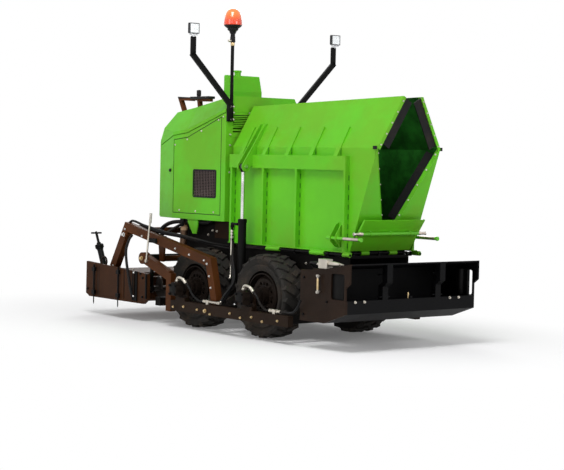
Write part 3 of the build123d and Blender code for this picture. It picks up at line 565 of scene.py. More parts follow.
TOP, UNDER = facing(2), facing(2, -1)
FRONT, REAR = facing(0), facing(0, -1)
LEFT, RIGHT, EITHER_SIDE = facing(1), facing(1, -1), facing(1, 0)


def flat_top(piece):
    return max(corner.co.z for corner in piece.data.vertices)


def grow(piece, foot, radius, rings):
    """Draws a round top up through rings, each a radius and its height over the foot."""
    for wide, up in rings:
        pull(piece, TOP, (0, 0, foot + up - flat_top(piece)), (wide / radius, wide / radius, 1))
        radius = wide


def close_mesh(piece):
    alone(piece)
    bpy.ops.object.mode_set(mode="EDIT")
    bpy.ops.mesh.select_all(action="SELECT")
    bpy.ops.mesh.remove_doubles(threshold=0.00001)
    bpy.ops.mesh.normals_make_consistent(inside=False)
    shut()


def twin(piece, name):
    """Copy of a piece with its own mesh."""
    made = piece.copy()
    made.data = piece.data.copy()
    made.name = name
    bpy.context.scene.collection.objects.link(made)
    return made


def other_side(piece, name):
    made = twin(piece, name)
    made.scale = (1, -1, 1)
    settle(made)
    close_mesh(made)
    return made


def joined(name, pieces):
    bpy.ops.object.select_all(action="DESELECT")
    for piece in pieces:
        piece.select_set(True)
    bpy.context.view_layer.objects.active = pieces[0]
    if len(pieces) > 1:
        bpy.ops.object.join()
    pieces[0].name = name
    return settle(pieces[0])


def scatter(name, model, spots):
    """Copies of a model, each standing on a point and looking along a direction."""
    made = []
    for place, direction in spots:
        one = twin(model, name)
        turn = Vector(direction).to_track_quat("Z", "Y").to_matrix().to_4x4()
        one.matrix_world = Matrix.Translation(place) @ turn
        made.append(settle(one))
    return joined(name, made)


def on_side(y, places):
    """Spots on an upright wall that looks to the right."""
    return [((x, y, z), (0, -1, 0)) for x, z in places]


def on_front(x, places):
    """Spots on an upright wall that looks forward."""
    return [((x, y, z), (1, 0, 0)) for y, z in places]


def remove(*pieces):
    for piece in pieces:
        bpy.data.objects.remove(piece, do_unlink=True)


def dress(piece, slot, body="chassis", angle=34, finish=None):
    """Gives a finished piece its material, its soft shading and the body it rides on."""
    piece.data.materials.clear()
    piece.data.materials.append(FINISH[finish or slot])
    alone(piece)
    bpy.ops.object.shade_smooth_by_angle(angle=radians(angle))
    if body:
        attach(piece, body)
    return piece


def single(name, pieces, slot, body="chassis", finish=None):
    """Joins pieces under one name and dresses them."""
    return dress(joined(name, pieces), slot, body, finish=finish)


def both_sides(name, pieces, slot, bodies="chassis", finish=None):
    """Joins right-hand pieces under one name and dresses them and their mirror image."""
    right = joined(name, pieces)
    left = other_side(right, f"{name}_left")
    right.name = f"{name}_right"
    dress(right, slot, bodies.format("right"), finish=finish)
    dress(left, slot, bodies.format("left"), finish=finish)
    return right, left


def bolt(size):
    """Hexagon head on a washer, standing on the origin."""
    washer = rod("washer", (0, 0, 0), (0, 0, 0.22 * size), 0.72 * size, 16)
    inset(washer, TOP, 0.06 * size, 0.03 * size)
    head = rod("head", (0, 0, 0.2 * size), (0, 0, 0.72 * size), 0.56 * size, 6)
    inset(head, TOP, 0.08 * size, 0.06 * size)
    return joined("bolt", [washer, head])


def bolts(size, spots):
    """Bolts of one size on the spots, as one piece."""
    model = bolt(size)
    row = scatter("bolts", model, spots)
    remove(model)
    return row


def button_head(size):
    """Low domed screw with a socket, standing on the origin."""
    head = rod("screw", (0, 0, 0), (0, 0, 0.3 * size), 0.6 * size, 16)
    for border, rise in ((0.16, 0.14), (0.16, 0.05), (0.01, -0.12)):
        inset(head, TOP, border * size, rise * size)
    return head


def soft_line(name, points, radius):
    """Round hose or wire on one smooth curve, turned into a mesh."""
    curve = bpy.data.curves.new(name, "CURVE")
    curve.dimensions = "3D"
    curve.bevel_depth = radius
    curve.bevel_resolution = 3
    curve.resolution_u = 10
    curve.use_fill_caps = True
    line = curve.splines.new("NURBS")
    line.points.add(len(points) - 1)
    for knot, place in zip(line.points, points):
        knot.co = (*place, 1)
    line.order_u = 3
    line.use_endpoint_u = True
    path = bpy.data.objects.new(name, curve)
    bpy.context.scene.collection.objects.link(path)
    alone(path)
    bpy.ops.object.convert(target="MESH")
    return bpy.context.object


# ---- tyres and wheels
LUGS = 21
WHEEL_NUTS = 8
NUT_CIRCLE_R = 0.118
BEAD_DIAMETER = 0.2095 * 2


def tyre_ring(outer, width, bead):
    """Carcass about the Y axis: a drum whose ends are inset into bulged side walls."""
    half = width / 2
    ring = rod("carcass", (0, -half + 0.012, 0), (0, half - 0.012, 0), outer, 84)
    for border, rise in ((0.016, 0.01), (0.06, 0.002), (0.006, 0.004), (0.008, -0.004),
                         (outer - bead - 0.095, -0.01), (0.005, -0.026)):
        inset(ring, EITHER_SIDE, border, rise)
    cut_away(ring, lambda centre, normal: abs(normal.y) > 0.9
             and hypot(centre.x, centre.z) < bead / 2)
    open_up(ring, "EDGE")
    bpy.ops.mesh.select_non_manifold()
    bpy.ops.mesh.bridge_edge_loops()
    shut()
    round_edges(ring, 0.006)
    return ring


def tread_lug(outer, tall, half):
    """One bar of the tread, from near the middle out over the shoulder."""
    lug = block("lug", (-0.026, 0.004, outer - 0.006), (0.026, half * 0.55, outer + tall - 0.004))
    pull(lug, LEFT, (0.01, half * 0.38, -0.004), (0.86, 1, 0.9))
    pull(lug, LEFT, (0.006, half * 0.07 + 0.001, -0.03), (0.9, 1, 0.8))
    pick(lug, lambda centre, normal: True)
    bpy.ops.transform.rotate(value=radians(-34), orient_axis="Z",
                             center_override=(0, half / 2, outer))
    shut()
    round_edges(lug, 0.004, 1)
    return lug


def wheel_tyre():
    """Whole tyre about the Y axis, its bars leaning opposite ways on each half."""
    tall = 0.022
    outer = WHEEL_R - tall
    lug = tread_lug(outer, tall, TYRE_WIDTH / 2 - 0.002)
    back = other_side(lug, "lug_back")
    bars = [tyre_ring(outer, TYRE_WIDTH - 0.004, BEAD_DIAMETER / 2)]
    for model, shift in ((lug, 0), (back, 0.5)):
        for i in range(LUGS):
            bar = twin(model, "bar")
            bar.rotation_euler = (0, 2 * pi * (i + shift) / LUGS, 0)
            bars.append(settle(bar))
    remove(lug, back)
    return joined("tyre", bars)


def wheels():
    """Tyres with tread in place of the plain ones, and the nuts of each rim."""
    model = wheel_tyre()
    nut = bolt(0.022)
    for node in [name for name in NODES if name.startswith("tyre_")]:
        place = node[5:]
        side = SIDES[place.split("_")[1]]
        low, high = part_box(node)
        centre = (Vector(low) + Vector(high)) / 2
        tread = twin(model, f"tread_{place}")
        tread.rotation_euler = (0, 0, pi if side > 0 else 0)
        tread.location = centre
        settle(tread)
        dress(tread, "tyre", f"wheel_{place}", angle=30)
        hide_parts(node)
        spots = []
        for i in range(WHEEL_NUTS):
            a = 2 * pi * i / WHEEL_NUTS
            spots.append(((centre.x + NUT_CIRCLE_R * cos(a), centre.y + side * 0.078,
                           centre.z + NUT_CIRCLE_R * sin(a)), (0, side, 0)))
        nuts = scatter(f"wheel_nuts_{place}", nut, spots)
        dress(nuts, "black_paint", f"wheel_{place}", finish="rim_paint")
    remove(model, nut)


# ---- hood
def hood_side():
    """Seam and screws of the panel in each side of the hood."""
    low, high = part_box("hood_right")
    y, front, gap = low[1], high[0], 0.0065
    left, right, kink = front - 0.857, front - 0.072, front - 0.623
    bottom, top_rear, top_front = low[2] + 0.058, high[2] - 0.262, high[2] - 0.02
    line = [(left, bottom), (right, bottom), (right, top_front - 0.022), (kink, top_rear + 0.026),
            (left, top_rear)]
    seams = [strip("seam", (x0, y - 0.0004, z0), (x1, y - 0.0004, z1), gap)
             for (x0, z0), (x1, z1) in zip(line, line[1:] + line[:1])]
    both_sides("door_seam", seams, "rubber")
    screw = button_head(0.0155)
    places = ((-0.896, bottom + 0.024), (-0.622, bottom + 0.024), (-0.325, bottom + 0.024),
              (-0.985, top_rear - 0.05), (-0.78, top_rear + 0.004), (-0.545, top_rear + 0.086),
              (-0.268, top_front - 0.052), (-0.19, top_front - 0.02))
    both_sides("door_screws", [scatter("screws", screw, on_side(y, places))], "zinc")
    wall = [(y, z) for y in (-0.4, 0.4) for z in (1.5, 1.76, 1.862)]
    wall += [(y, 2.072) for y in (-0.36, -0.17, 0.02, 0.21, 0.36)]
    feet = [(y, z) for y in (-0.412, -0.38, 0.38, 0.412) for z in (2.128, 2.004)]
    dress(scatter("front_screws", screw, on_front(front, wall) + on_front(front + 0.022, feet)),
          "zinc")
    remove(screw)


def slats(count, first, pitch, low, high, outer):
    """Louvre slats across the hood, from low to high in X and Y, drooping at the outer edge."""
    made = []
    for i in range(count):
        z = first + pitch * i
        slat = block("slat", (*low, z - 0.001), (*high, z + 0.003))
        pick(slat, outer)
        bpy.ops.transform.translate(value=(0, 0, -0.006))
        shut()
        made.append(slat)
    return made


def hood_front():
    """Louvres and seam of the hood's front wall, and the catch of each side panel."""
    low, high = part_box("hood_right")
    y, front = low[1], high[0]
    face, pitch = front + 0.0004, 0.017
    made = slats(6, 1.955, pitch, (front - 0.002, -0.368), (front + 0.01, 0.368), FRONT)
    made.append(strip("seam", (face, -0.43, 1.838), (face, 0.43, 1.838), 0.004))
    single("front_louvres", made, "green_paint")
    heights = [1.963 + pitch * i for i in range(6)]
    # dark strips in the gaps between the slats: painted shade of the openings
    shades = [strip("slot", (face, -0.362, z), (face, 0.362, z), 0.0075) for z in heights]
    single("louvre_gap_shade", shades, "rubber")
    x, z = front - 0.869, 1.505
    catch = rod("catch", (x - 0.052, y + 0.014, z), (x - 0.06, y - 0.004, z), 0.016, 20, 0.003)
    inset(catch, lambda centre, normal: normal.y < -0.8, 0.004, 0.003)
    both_sides("side_catch", [catch], "black_plastic")


def grille():
    """Woven wire screen in each side opening, inside a dark rounded rim."""
    low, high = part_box("door_grilles")
    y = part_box("hood_right")[0][1]
    x0, x1 = low[0] + 0.004, high[0] - 0.004
    z0, z1 = low[2] + 0.004, high[2] - 0.004
    wires = [rod("wire", (x, y + 0.002, z0), (x, y + 0.002, z1), 0.0022, 6)
             for x in inner_steps(x0, x1, 14)]
    wires += [rod("wire", (x0, y + 0.005, z), (x1, y + 0.005, z), 0.0011, 6)
              for z in inner_steps(z0, z1, 17)]
    both_sides("grille_wires", wires, "steel", finish="dusty_wire")
    back = block("back", (x0 - 0.002, y + 0.009, z0 - 0.002), (x1 + 0.002, y + 0.012, z1 + 0.002))
    inset(back, EITHER_SIDE, 0.004, -0.0005)
    both_sides("grille_back", [back], "black_plastic")
    rim = block("rim", (x0 - 0.012, y - 0.003, z0 - 0.012), (x1 + 0.012, y + 0.0005, z1 + 0.012))
    for edge in open_up(rim, "EDGE").edges:
        a, b = edge.verts
        edge.select_set(abs(a.co.y - b.co.y) > 0.001)
    bmesh.update_edit_mesh(rim.data)
    bpy.ops.mesh.bevel(offset=0.022, segments=5)
    shut()
    inset(rim, EITHER_SIDE, 0.013)
    middle = Vector(((x0 + x1) / 2, y, (z0 + z1) / 2))
    pick(rim, lambda c, n: abs(n.y) > 0.9 and (c - middle).length < 0.02)
    bpy.ops.mesh.bridge_edge_loops()
    shut()
    both_sides("grille_rim", [rim], "black_plastic")


def rear_door_details():
    """Hinges, latch and louvres of the door in the hood's rear."""
    low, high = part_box("rear_door")
    x, y, middle = low[0], high[1], (low[2] + high[2]) / 2
    hinges = []
    for z in (low[2] + 0.12, middle, high[2] - 0.12):
        barrel = rod("hinge", (x - 0.003, y - 0.004, z - 0.045), (x - 0.003, y - 0.004, z + 0.045),
                     0.008, 16, 0.0015)
        leaf = block("leaf", (x - 0.004, y - 0.055, z - 0.04), (x, y - 0.005, z + 0.04))
        inset(leaf, REAR, 0.006, 0.001)
        hinges += [barrel, leaf]
    single("door_hinges", hinges, "zinc", "engine_door")
    y = low[1]
    latch = block("latch", (x - 0.009, y + 0.03, middle - 0.055), (x, y + 0.075, middle + 0.055),
                  0.003)
    inset(latch, REAR, 0.006, -0.004)
    handle = block("handle", (x - 0.018, y + 0.042, middle - 0.04),
                   (x - 0.007, y + 0.062, middle + 0.012), 0.003)
    single("door_latch", [latch, handle], "black_plastic", "engine_door")
    made = slats(10, 1.45, 0.026, (x - 0.008, -0.248), (x + 0.002, 0.248), REAR)
    single("door_louvres", made, "green_paint", "engine_door")


def tank_details():
    """Ribbed filler cap on the tank."""
    x, y, top = -0.498, -0.06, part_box("top_tank")[1][2]
    radius, grips = 0.036, 12
    cap = [rod("cap", (x, y, top - 0.02), (x, y, top), radius, 24)]
    for i in range(grips):
        a = 2 * pi * i / grips
        grip = (x + radius * cos(a), y + radius * sin(a))
        cap.append(rod("grip", (*grip, top - 0.018), (*grip, top - 0.002), 0.003, 8))
    cap = joined("tank_cap", cap)
    inset(cap, TOP, 0.004, -0.003)
    dress(cap, "green_paint")


# ---- lamps
def lamp_arms():
    """Bent bars of the work lamps on their foot plates, and the beacon's pole."""
    x0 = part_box("lamp_arms")[0][0]
    x1 = x0 + 0.027
    middle = (x0 + x1) / 2
    foot = block("foot", (x0, -0.45, 1.988), (x1, -0.384, 2.152), 0.003)
    lean = strip("lean", (middle, -0.42, 2.15), (middle, -0.858, 2.59), 0.052, x1 - x0)
    top = inset(block("top", (x0, -0.888, 2.585), (x1, -0.836, 2.762), 0.003), TOP, 0.006, 0.006)
    pad = block("pad", (x0 + 0.001, -0.44, 1.985), (x1 - 0.001, -0.394, 2.15))
    inset(pad, FRONT, 0.008, 0.002)
    arms = both_sides("lamp_arm", [foot, lean, top, pad], "black_paint")
    x, y = -0.139, -0.4
    pole = inset(rod("pole", (x, y, 2.12), (x, y, 2.715), 0.0165, 28, 0.003), UNDER, 0.004, 0.003)
    dress(pole, "black_paint")
    for piece in (*arms, pole):
        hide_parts("lamp_arms")


def work_lamp():
    """Work lamps: finned housing, thin frame, white lens with nine cups, and the yoke."""
    low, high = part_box("work_lights")
    foot = low[2]
    y0, y1 = low[1], low[1] + 0.11
    z0, z1 = foot + 0.01, high[2]
    x0, x1 = low[0] + 0.012, high[0]
    middle, level = (y0 + y1) / 2, (z0 + z1) / 2
    shell = inset(block("housing", (x0 + 0.018, y0, z0), (x1 - 0.003, y1, z1)), REAR, 0.012, 0.01)
    round_edges(shell, 0.006)
    fins, half = [shell], 0.0015
    for i in range(7):
        y = y0 + 0.02 + i * (y1 - y0 - 0.04) / 6
        fins.append(block("fin", (x0, y - half, z0 + 0.014), (x0 + 0.02, y + half, z1 - 0.014)))
    housings = both_sides("lamp_housing", fins, "black_plastic")
    bezel = block("bezel", (x1 - 0.012, y0 + 0.001, z0 + 0.001),
                  (x1 - 0.0005, y1 - 0.001, z1 - 0.001))
    inset(bezel, FRONT, 0.0075)
    pull(bezel, lambda c, n: n.x > 0.9 and abs(c.y - middle) < 0.02 and abs(c.z - level) < 0.02,
         (-0.004, 0, 0))
    both_sides("lamp_bezel", [bezel], "black_plastic", finish="lamp_grey")
    pane = block("pane", (x1 - 0.0065, y0 + 0.0088, z0 + 0.0088),
                 (x1 - 0.0022, y1 - 0.0088, z1 - 0.0088))
    inset(pane, FRONT, 0.003, 0.0006)
    cups = [pane]
    for i in (-1, 0, 1):
        for k in (-1, 0, 1):
            y, z = middle + i * 0.029, level + k * 0.027
            cup = rod("cup", (x1 - 0.004, y, z), (x1 - 0.0012, y, z), 0.0115, 20)
            inset(cup, FRONT, 0.003, 0.0005)
            cups.append(cup)
    both_sides("lamp_lens", cups, "black_plastic", finish="lens")
    yoke = block("yoke", (x0 + 0.022, middle - 0.034, foot - 0.004),
                 (x0 + 0.05, middle + 0.034, foot + 0.003), 0.001)
    stud = rod("stud", (x0 + 0.037, middle, foot - 0.02), (x0 + 0.037, middle, foot + 0.012),
               0.011, 6, 0.001)
    ears = [block("ear", (x0 + 0.024, y, foot - 0.004), (x0 + 0.048, y + 0.006, z0 + 0.02), 0.001)
            for y in (middle - 0.04, middle + 0.034)]
    x, z = x0 + 0.036, z0 + 0.008
    knobs = [rod("yoke_knob", (x, y, z), (x, y + 0.008, z), 0.01, 12, 0.001)
             for y in (middle - 0.046, middle + 0.038)]
    both_sides("lamp_yoke", [yoke, stud, *ears, *knobs], "steel", finish="lamp_silver")
    for piece in housings:
        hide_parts("work_lights")


def beacon():
    """Amber dome on a black funnel base, with its clamp and brass ferrule on the pole."""
    low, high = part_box("beacon")
    x, y, _ = (Vector(low) + Vector(high)) / 2
    foot = low[2] - 0.042
    base = rod("base", (x, y, foot), (x, y, foot + 0.012), 0.052, 44)
    grow(base, foot, 0.052, ((0.07, 0.024), (0.083, 0.036), (0.086, 0.044)))
    inset(base, UNDER, 0.018, 0.016)
    inset(base, UNDER, 0.006, 0.02)
    stem = rod("stem", (x, y, 2.79), (x, y, 2.836), 0.022, 28, 0.003)
    clamp = rod("clamp", (x, y, 2.738), (x, y, 2.794), 0.0245, 28, 0.004)
    knob = rod("knob", (x, y - 0.05, 2.752), (x, y - 0.02, 2.752), 0.013, 16, 0.003)
    screw = rod("screw", (x, y - 0.03, 2.752), (x, y + 0.03, 2.752), 0.006, 12, 0.001)
    single("beacon_base", [base, stem, clamp, screw], "black_plastic")
    inset(knob, RIGHT, 0.004, 0.002)
    dress(knob, "zinc")
    ferrule = rod("beacon_ferrule", (x, y, 2.708), (x, y, 2.738), 0.0195, 24, 0.003)
    inset(ferrule, UNDER, 0.002, 0.002)
    dress(ferrule, "zinc", finish="brass")
    wide = 0.088
    dome = rod("dome", (x, y, foot + 0.044), (x, y, foot + 0.062), wide, 56)
    grow(dome, foot, wide, ((0.085, 0.095), (0.078, 0.132), (0.066, 0.164), (0.05, 0.186),
                            (0.03, 0.198)))
    inset(dome, TOP, 0.016, min(0.003, high[2] - 0.0006 - flat_top(dome)))
    round_edges(dome, 0.004, 3)
    dress(dome, "amber", angle=60)
    ribs = []
    for i in range(4):
        z, radius = foot + 0.06 + 0.011 * i, wide + 0.0008 - 0.0007 * i
        ribs.append(rod("rib", (x, y, z), (x, y, z + 0.0022), radius, 56, 0.0008))
    single("beacon_ribs", ribs, "amber")
    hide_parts("beacon")


# ---- hopper
MOUTH_CORNER = Vector((MOUTH_X, -WALL_Y, FOLD_HEIGHT))
MOUTH_TIP = Vector((1.95, -0.114, 2.205))
CHEEK_TIP = Vector((1.6831, -0.094, 1.105))
RAM_Y = -0.5


def mouth_details():
    """Bolts through the clamp bars of the mouth's rubber strips."""
    spots = []
    for tip, inward, aside, proud in ((MOUTH_TIP, (0, 0.85, -0.5), 0.016, 0.006),
                                      (CHEEK_TIP, (-0.78, 0.62, 0), 0.014, 0.005)):
        run, inward = tip - MOUTH_CORNER, Vector(inward)
        across = (inward - run.normalized() * inward.dot(run.normalized())).normalized()
        normal = run.cross(across).normalized()
        normal = normal if normal.x > 0 else -normal
        for i in range(5):
            at = MOUTH_CORNER + run * (0.08 + 0.21 * i) + across * aside + normal * proud
            spots.append((at, normal))
    both_sides("mouth_bolts", [bolts(0.0105, spots)], "zinc", "{}_wing")


def wing_welds():
    """Stitch welds down the posts and along the ribs, darker green than the paint as painted shade
    in the joints.
    """
    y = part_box("wing_right")[0][1] - 0.002
    lines = [(x + 0.002, 0.87 + 0.085 * i, 0.04) for x in (-0.076, 0.41, 0.895, 1.561)
             for i in range(8)]
    lines += [(x + side, 1.69, 0.052) for x in (0.034, 0.374, 0.712, 1.053, 1.395)
              for side in (0, 0.052)]
    beads = []
    for x, z, length in lines:
        bead = rod("bead", (x, y, z), (x, y, z + length), 0.0035, 8)
        inset(bead, facing(2, 0), 0.0015, 0.003)
        beads.append(bead)
    both_sides("wing_welds", beads, "green_paint", "{}_wing", finish="weld_green")


def ram_details():
    """Pin heads, rod collars, gland nuts and bright pipes of the wings' cylinders."""
    pins = []
    for x, z in ((0.242, 1.56), (0.241, 0.45)):
        pin = rod("pin", (x, RAM_Y, z), (x + 0.009, RAM_Y, z), 0.019, 24, 0.002)
        pins.append(inset(pin, FRONT, 0.006, -0.002))
    both_sides("upper_pin", pins[:1], "steel", "{}_wing", finish="bright")
    both_sides("lower_pin", pins[1:], "steel")
    x = 0.2
    collar = rod("collar", (x, RAM_Y, 1.51), (x, RAM_Y, 1.532), 0.026, 28, 0.003)
    both_sides("rod_collar", [collar], "black_paint", "{}_ram_rod")
    gland = rod("gland", (x, RAM_Y, 1.052), (x, RAM_Y, 1.0695), 0.04, 28)
    inset(gland, TOP, 0.01, 0.002)
    both_sides("gland_nut", [gland], "black_paint", "{}_ram_barrel")
    x, y = 0.096, RAM_Y - 0.048
    pipe = [rod("pipe", (x - 0.008, y + 0.01, 0.965), (x, y, 0.53), 0.0075, 16),
            rod("foot", (x, y, 0.535), (x + 0.006, y - 0.012, 0.505), 0.012, 12, 0.002)]
    for z in (0.885, 0.915, 0.94):
        pipe.append(rod("nut", (0.085, -0.53, z), (0.085, -0.53, z + 0.018), 0.019, 6, 0.001))
    both_sides("ram_pipe", pipe, "zinc", "{}_ram_barrel")


# ---- hydraulics
def hose_ends():
    """Crimped sleeves and hexagons where the hoses meet their ports and tees."""
    y, z, half = -0.828, 0.462, 0.006
    along = Vector((sin(radians(125)), 0, cos(radians(125))))
    ends = []
    for x in AXLES_X:
        port = x - 0.012
        ends.append(rod("hex", (port, y, z - 0.01), (port, y, z + 0.004), 0.019, 6, 0.001))
        start = Vector((x + 0.108, y, z))
        for at, wide in ((-0.02, 0.0175), (0.004, 0.0165), (0.02, 0.0165)):
            ends.append(rod("sleeve", start + along * (at - half), start + along * (at + half),
                            wide, 16, 0.0015))
    y, z, half = -0.77, 0.288, 0.009
    for x0, x1 in ((0.976, 1.136), (-0.022, 0.246)):
        for x, sides in ((x0 + 0.012, 16), (x0 + 0.04, 6), (x1 - 0.04, 6), (x1 - 0.012, 16)):
            ends.append(rod("nut", (x - half, y, z), (x + half, y, z), 0.0175, sides, 0.0015))
    both_sides("hose_ends", ends, "zinc")


def motor_details():
    """Bolts, end cover and case seams of each wheel motor."""
    bits = []
    for x in AXLES_X:
        cover = rod("cover", (x, -0.889, WHEEL_R), (x, -0.878, WHEEL_R), 0.05, 32)
        inset(cover, RIGHT, 0.01, 0.002)
        places = [(x + dx, z) for dx in (-0.042, 0.042) for z in (0.335, 0.415)]
        bits += [cover, bolts(0.02, on_side(-0.888, places))]
        for y in (-0.722, -0.8):
            bits.append(rod("ring", (x, y - 0.004, WHEEL_R), (x, y + 0.004, WHEEL_R), 0.066, 36,
                            0.002))
    both_sides("motor_details", bits, "black_paint")


# ---- chassis and arms
BEAM_BOLTS = ((-0.079, 0.205), (0.127, 0.18), (0.433, 0.215), (0.592, 0.19), (0.757, 0.21),
              (0.912, 0.185), (-0.3, 0.215), (-0.47, 0.2), (1.13, 0.21))
PLATE_BOLTS = ((-0.45, 0.93), (-0.38, 0.925), (-0.52, 0.885), (0.98, 0.7), (-0.3, 0.72),
               (1.2, 0.66), (1.46, 0.72))
CHEEK_BOLTS = ((1.45, 0.62), (1.45, 0.3), (1.76, 0.43))
RAIL_BOLTS = [(y, 0.44) for y in (-0.66, -0.555, 0.46, 0.57)]
ARM_BOLTS = ((-1.427, 0.902), (-1.119, 0.847), (-0.542, 0.755), (-0.308, 0.71), (-0.066, 0.67),
             (-0.02, 0.64), (0.02, 0.527), (0.048, 0.42), (-1.64, 0.52))
SMALL_BOLT, BIG_BOLT = 0.0165, 0.03
ARM_Y = -0.738
LEVER_Y = -0.812


def beam_bolts():
    """Bolts along the lower beams, the side plates, the front box's cheeks and its rail."""
    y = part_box("side_beams")[0][1]
    rows = [bolts(SMALL_BOLT, on_side(y, BEAM_BOLTS)), bolts(0.026, on_side(y, [(0.049, 0.205)]))]
    both_sides("beam_bolts", rows, "zinc", finish="brass")
    for name, node, places, slot in (("plate_bolts", "chassis_plates", PLATE_BOLTS, "zinc"),
                                     ("cheek_bolts", "front_box", CHEEK_BOLTS, "black_paint")):
        both_sides(name, [bolts(SMALL_BOLT, on_side(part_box(node)[0][1], places))], slot)
    single("rail_bolts", [bolts(0.017, on_front(1.996, RAIL_BOLTS))], "zinc")


def arm_bolts():
    """Bolts, elbow pins and clamps of the goose-neck arms, and the pivot boss's bolt."""
    rows = [bolts(0.0145, on_side(ARM_Y, ARM_BOLTS)),
            bolts(BIG_BOLT, on_side(ARM_Y - 0.014, [(-1.426, 0.847)]))]
    both_sides("arm_bolts", rows, "zinc", "screed", finish="bright")
    clamp = block("clamp", (-0.985, ARM_Y - 0.014, 0.79), (-0.85, ARM_Y + 0.001, 0.834), 0.004)
    inset(clamp, RIGHT, 0.012, 0.004)
    both_sides("arm_clamp", [clamp], "black_paint", "screed")
    boss = bolts(BIG_BOLT, on_side(LEVER_Y, [(-1.007, 0.635)]))
    both_sides("boss_bolt", [boss], "zinc", finish="brass")


def lever_grips():
    """Pale sleeves on the hand levers."""
    grip = rod("grip", (-0.872, LEVER_Y, 0.985), (-0.8615, LEVER_Y, 1.083), 0.0135, 20, 0.004)
    both_sides("lever_grip", [grip], "steel", finish="pale_grip")


def stand_details():
    """Black grip, gaiter and switch plate of the joystick."""
    x, y = -0.81, -0.3
    grip = inset(rod("grip", (x, y, 2.25), (x, y, 2.3), 0.0225, 28), TOP, 0.006, 0.004)
    inset(grip, UNDER, 0.008, 0.006)
    gaiter = rod("gaiter", (x, y, 2.236), (x, y, 2.246), 0.02, 24, 0.003)
    plate = block("plate", (-0.905, -0.342, 2.214), (-0.595, -0.258, 2.24), 0.004)
    inset(plate, TOP, 0.01, -0.002)
    single("stand_grip", [grip, gaiter, plate], "black_plastic")


# ---- screed
def end_plate_details():
    """Seams, fold, channel and slide of each end plate, with the stakes under it."""
    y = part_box("screed_end_plates")[0][1]
    lines = [strip("seam", (x, y - 0.0004, 0.215), (x, y - 0.0004, 0.5), 0.0075)
             for x in (-1.83, -1.802, -1.404, -1.33)]
    both_sides("end_plate_seams", lines, "rubber", "screed")
    fold = block("fold", (-1.396, y - 0.005, 0.2), (-1.338, y + 0.001, 0.515))
    inset(fold, RIGHT, 0.016, -0.003)
    foot = block("foot", (-1.985, y - 0.006, 0.184), (-0.99, y + 0.001, 0.2))
    inset(foot, RIGHT, 0.003, 0.002)
    both_sides("end_plate_fold", [fold, foot], "brown_paint", "screed", finish="screed_brown")
    channel = block("channel", (-1.172, y - 0.012, 0.205), (-1.092, y + 0.001, 0.498))
    inset(channel, RIGHT, 0.01, -0.008)
    flange = block("flange", (-0.942, y - 0.014, 0.238), (-0.921, y + 0.001, 0.486), 0.002)
    inset(flange, RIGHT, 0.004, 0.001)
    both_sides("end_plate_channel", [channel, flange], "black_paint", "screed")
    y -= 0.01
    slide = rod("slide", (-1.148, y, 0.246), (-1.148, y, 0.486), 0.0075, 16, 0.001)
    both_sides("slide_rod", [slide], "black_paint", "screed", finish="dark_brown")
    collars = [rod("collar", (x, y, z - 0.008), (x, y, z + 0.008), 0.0105, 16, 0.002)
               for x, z in ((-1.148, 0.484), (-1.148, 0.25), (-1.178, 0.258))]
    both_sides("slide_collars", collars, "zinc", "screed", finish="bright")
    stakes = []
    for x in (-1.878, -1.425):
        stake = rod("stake", (x, -0.814, 0.128), (x, -0.814, 0.23), 0.006, 16)
        inset(stake, UNDER, 0.0035, 0.014)
        stakes.append(stake)
    both_sides("stakes", stakes, "black_paint", "screed")


def screed_fittings():
    """Lifting hoop, depth jack's sleeve and guide hose on each side of the screed."""
    x, y, z, radius, steps = -1.734, -0.785, 0.556, 0.052, 12
    turns = [2 * pi * i / steps for i in range(steps + 1)]
    hoop = [(x + radius * cos(a), y, z + radius * sin(a)) for a in turns]
    both_sides("lifting_hoop", [soft_line("hoop", hoop, 0.0085)], "black_paint", "screed",
               finish="dark_brown")
    foot, lean = Vector((-1.839, -0.7, 0.437)), Vector((-0.4275, 0, 0.904))
    jack = [rod("sleeve", foot + lean * start, foot + lean * end, radius, 28, 0.003)
            for start, end, radius in ((0.03, 0.262, 0.031), (0.255, 0.275, 0.036),
                                       (0.272, 0.304, 0.045), (0.3, 0.33, 0.022),
                                       (0.325, 0.44, 0.0135))]
    both_sides("jack_sleeve", jack, "black_paint", "screed")
    path = [(-1.31, -0.73, 0.845), (-1.306, -0.762, 0.82), (-1.3, -0.79, 0.76),
            (-1.296, -0.812, 0.7), (-1.27, -0.822, 0.6), (-1.236, -0.826, 0.5),
            (-1.205, -0.826, 0.4), (-1.176, -0.822, 0.3), (-1.16, -0.812, 0.235)]
    both_sides("guide_hose", [soft_line("hose", path, 0.014)], "rubber", "screed")


def screed_top():
    """Cover on the screed's body with its row of bolts, and the end plates' bolts."""
    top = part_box("screed_body")[1][2]
    cover = block("cover", (-1.9, -0.6, top - 0.004), (-1.3, 0.6, top + 0.03))
    inset(cover, TOP, 0.03, 0.004)
    inset(cover, TOP, 0.01, -0.003)
    round_edges(cover, 0.003)
    dress(cover, "brown_paint", "screed", finish="screed_brown")
    size = 0.018
    spots = [((-1.6, -0.52 + 0.26 * i, top + 0.031), (0, 0, 1)) for i in range(5)]
    single("cover_bolts", [bolts(size, spots)], "zinc", "screed")
    places = ((-1.000, 0.44), (-1.000, 0.25), (-1.04, 0.48), (-2.01, 0.26))
    row = bolts(size, on_side(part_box("screed_end_plates")[0][1], places))
    both_sides("end_plate_bolts", [row], "black_paint", "screed")


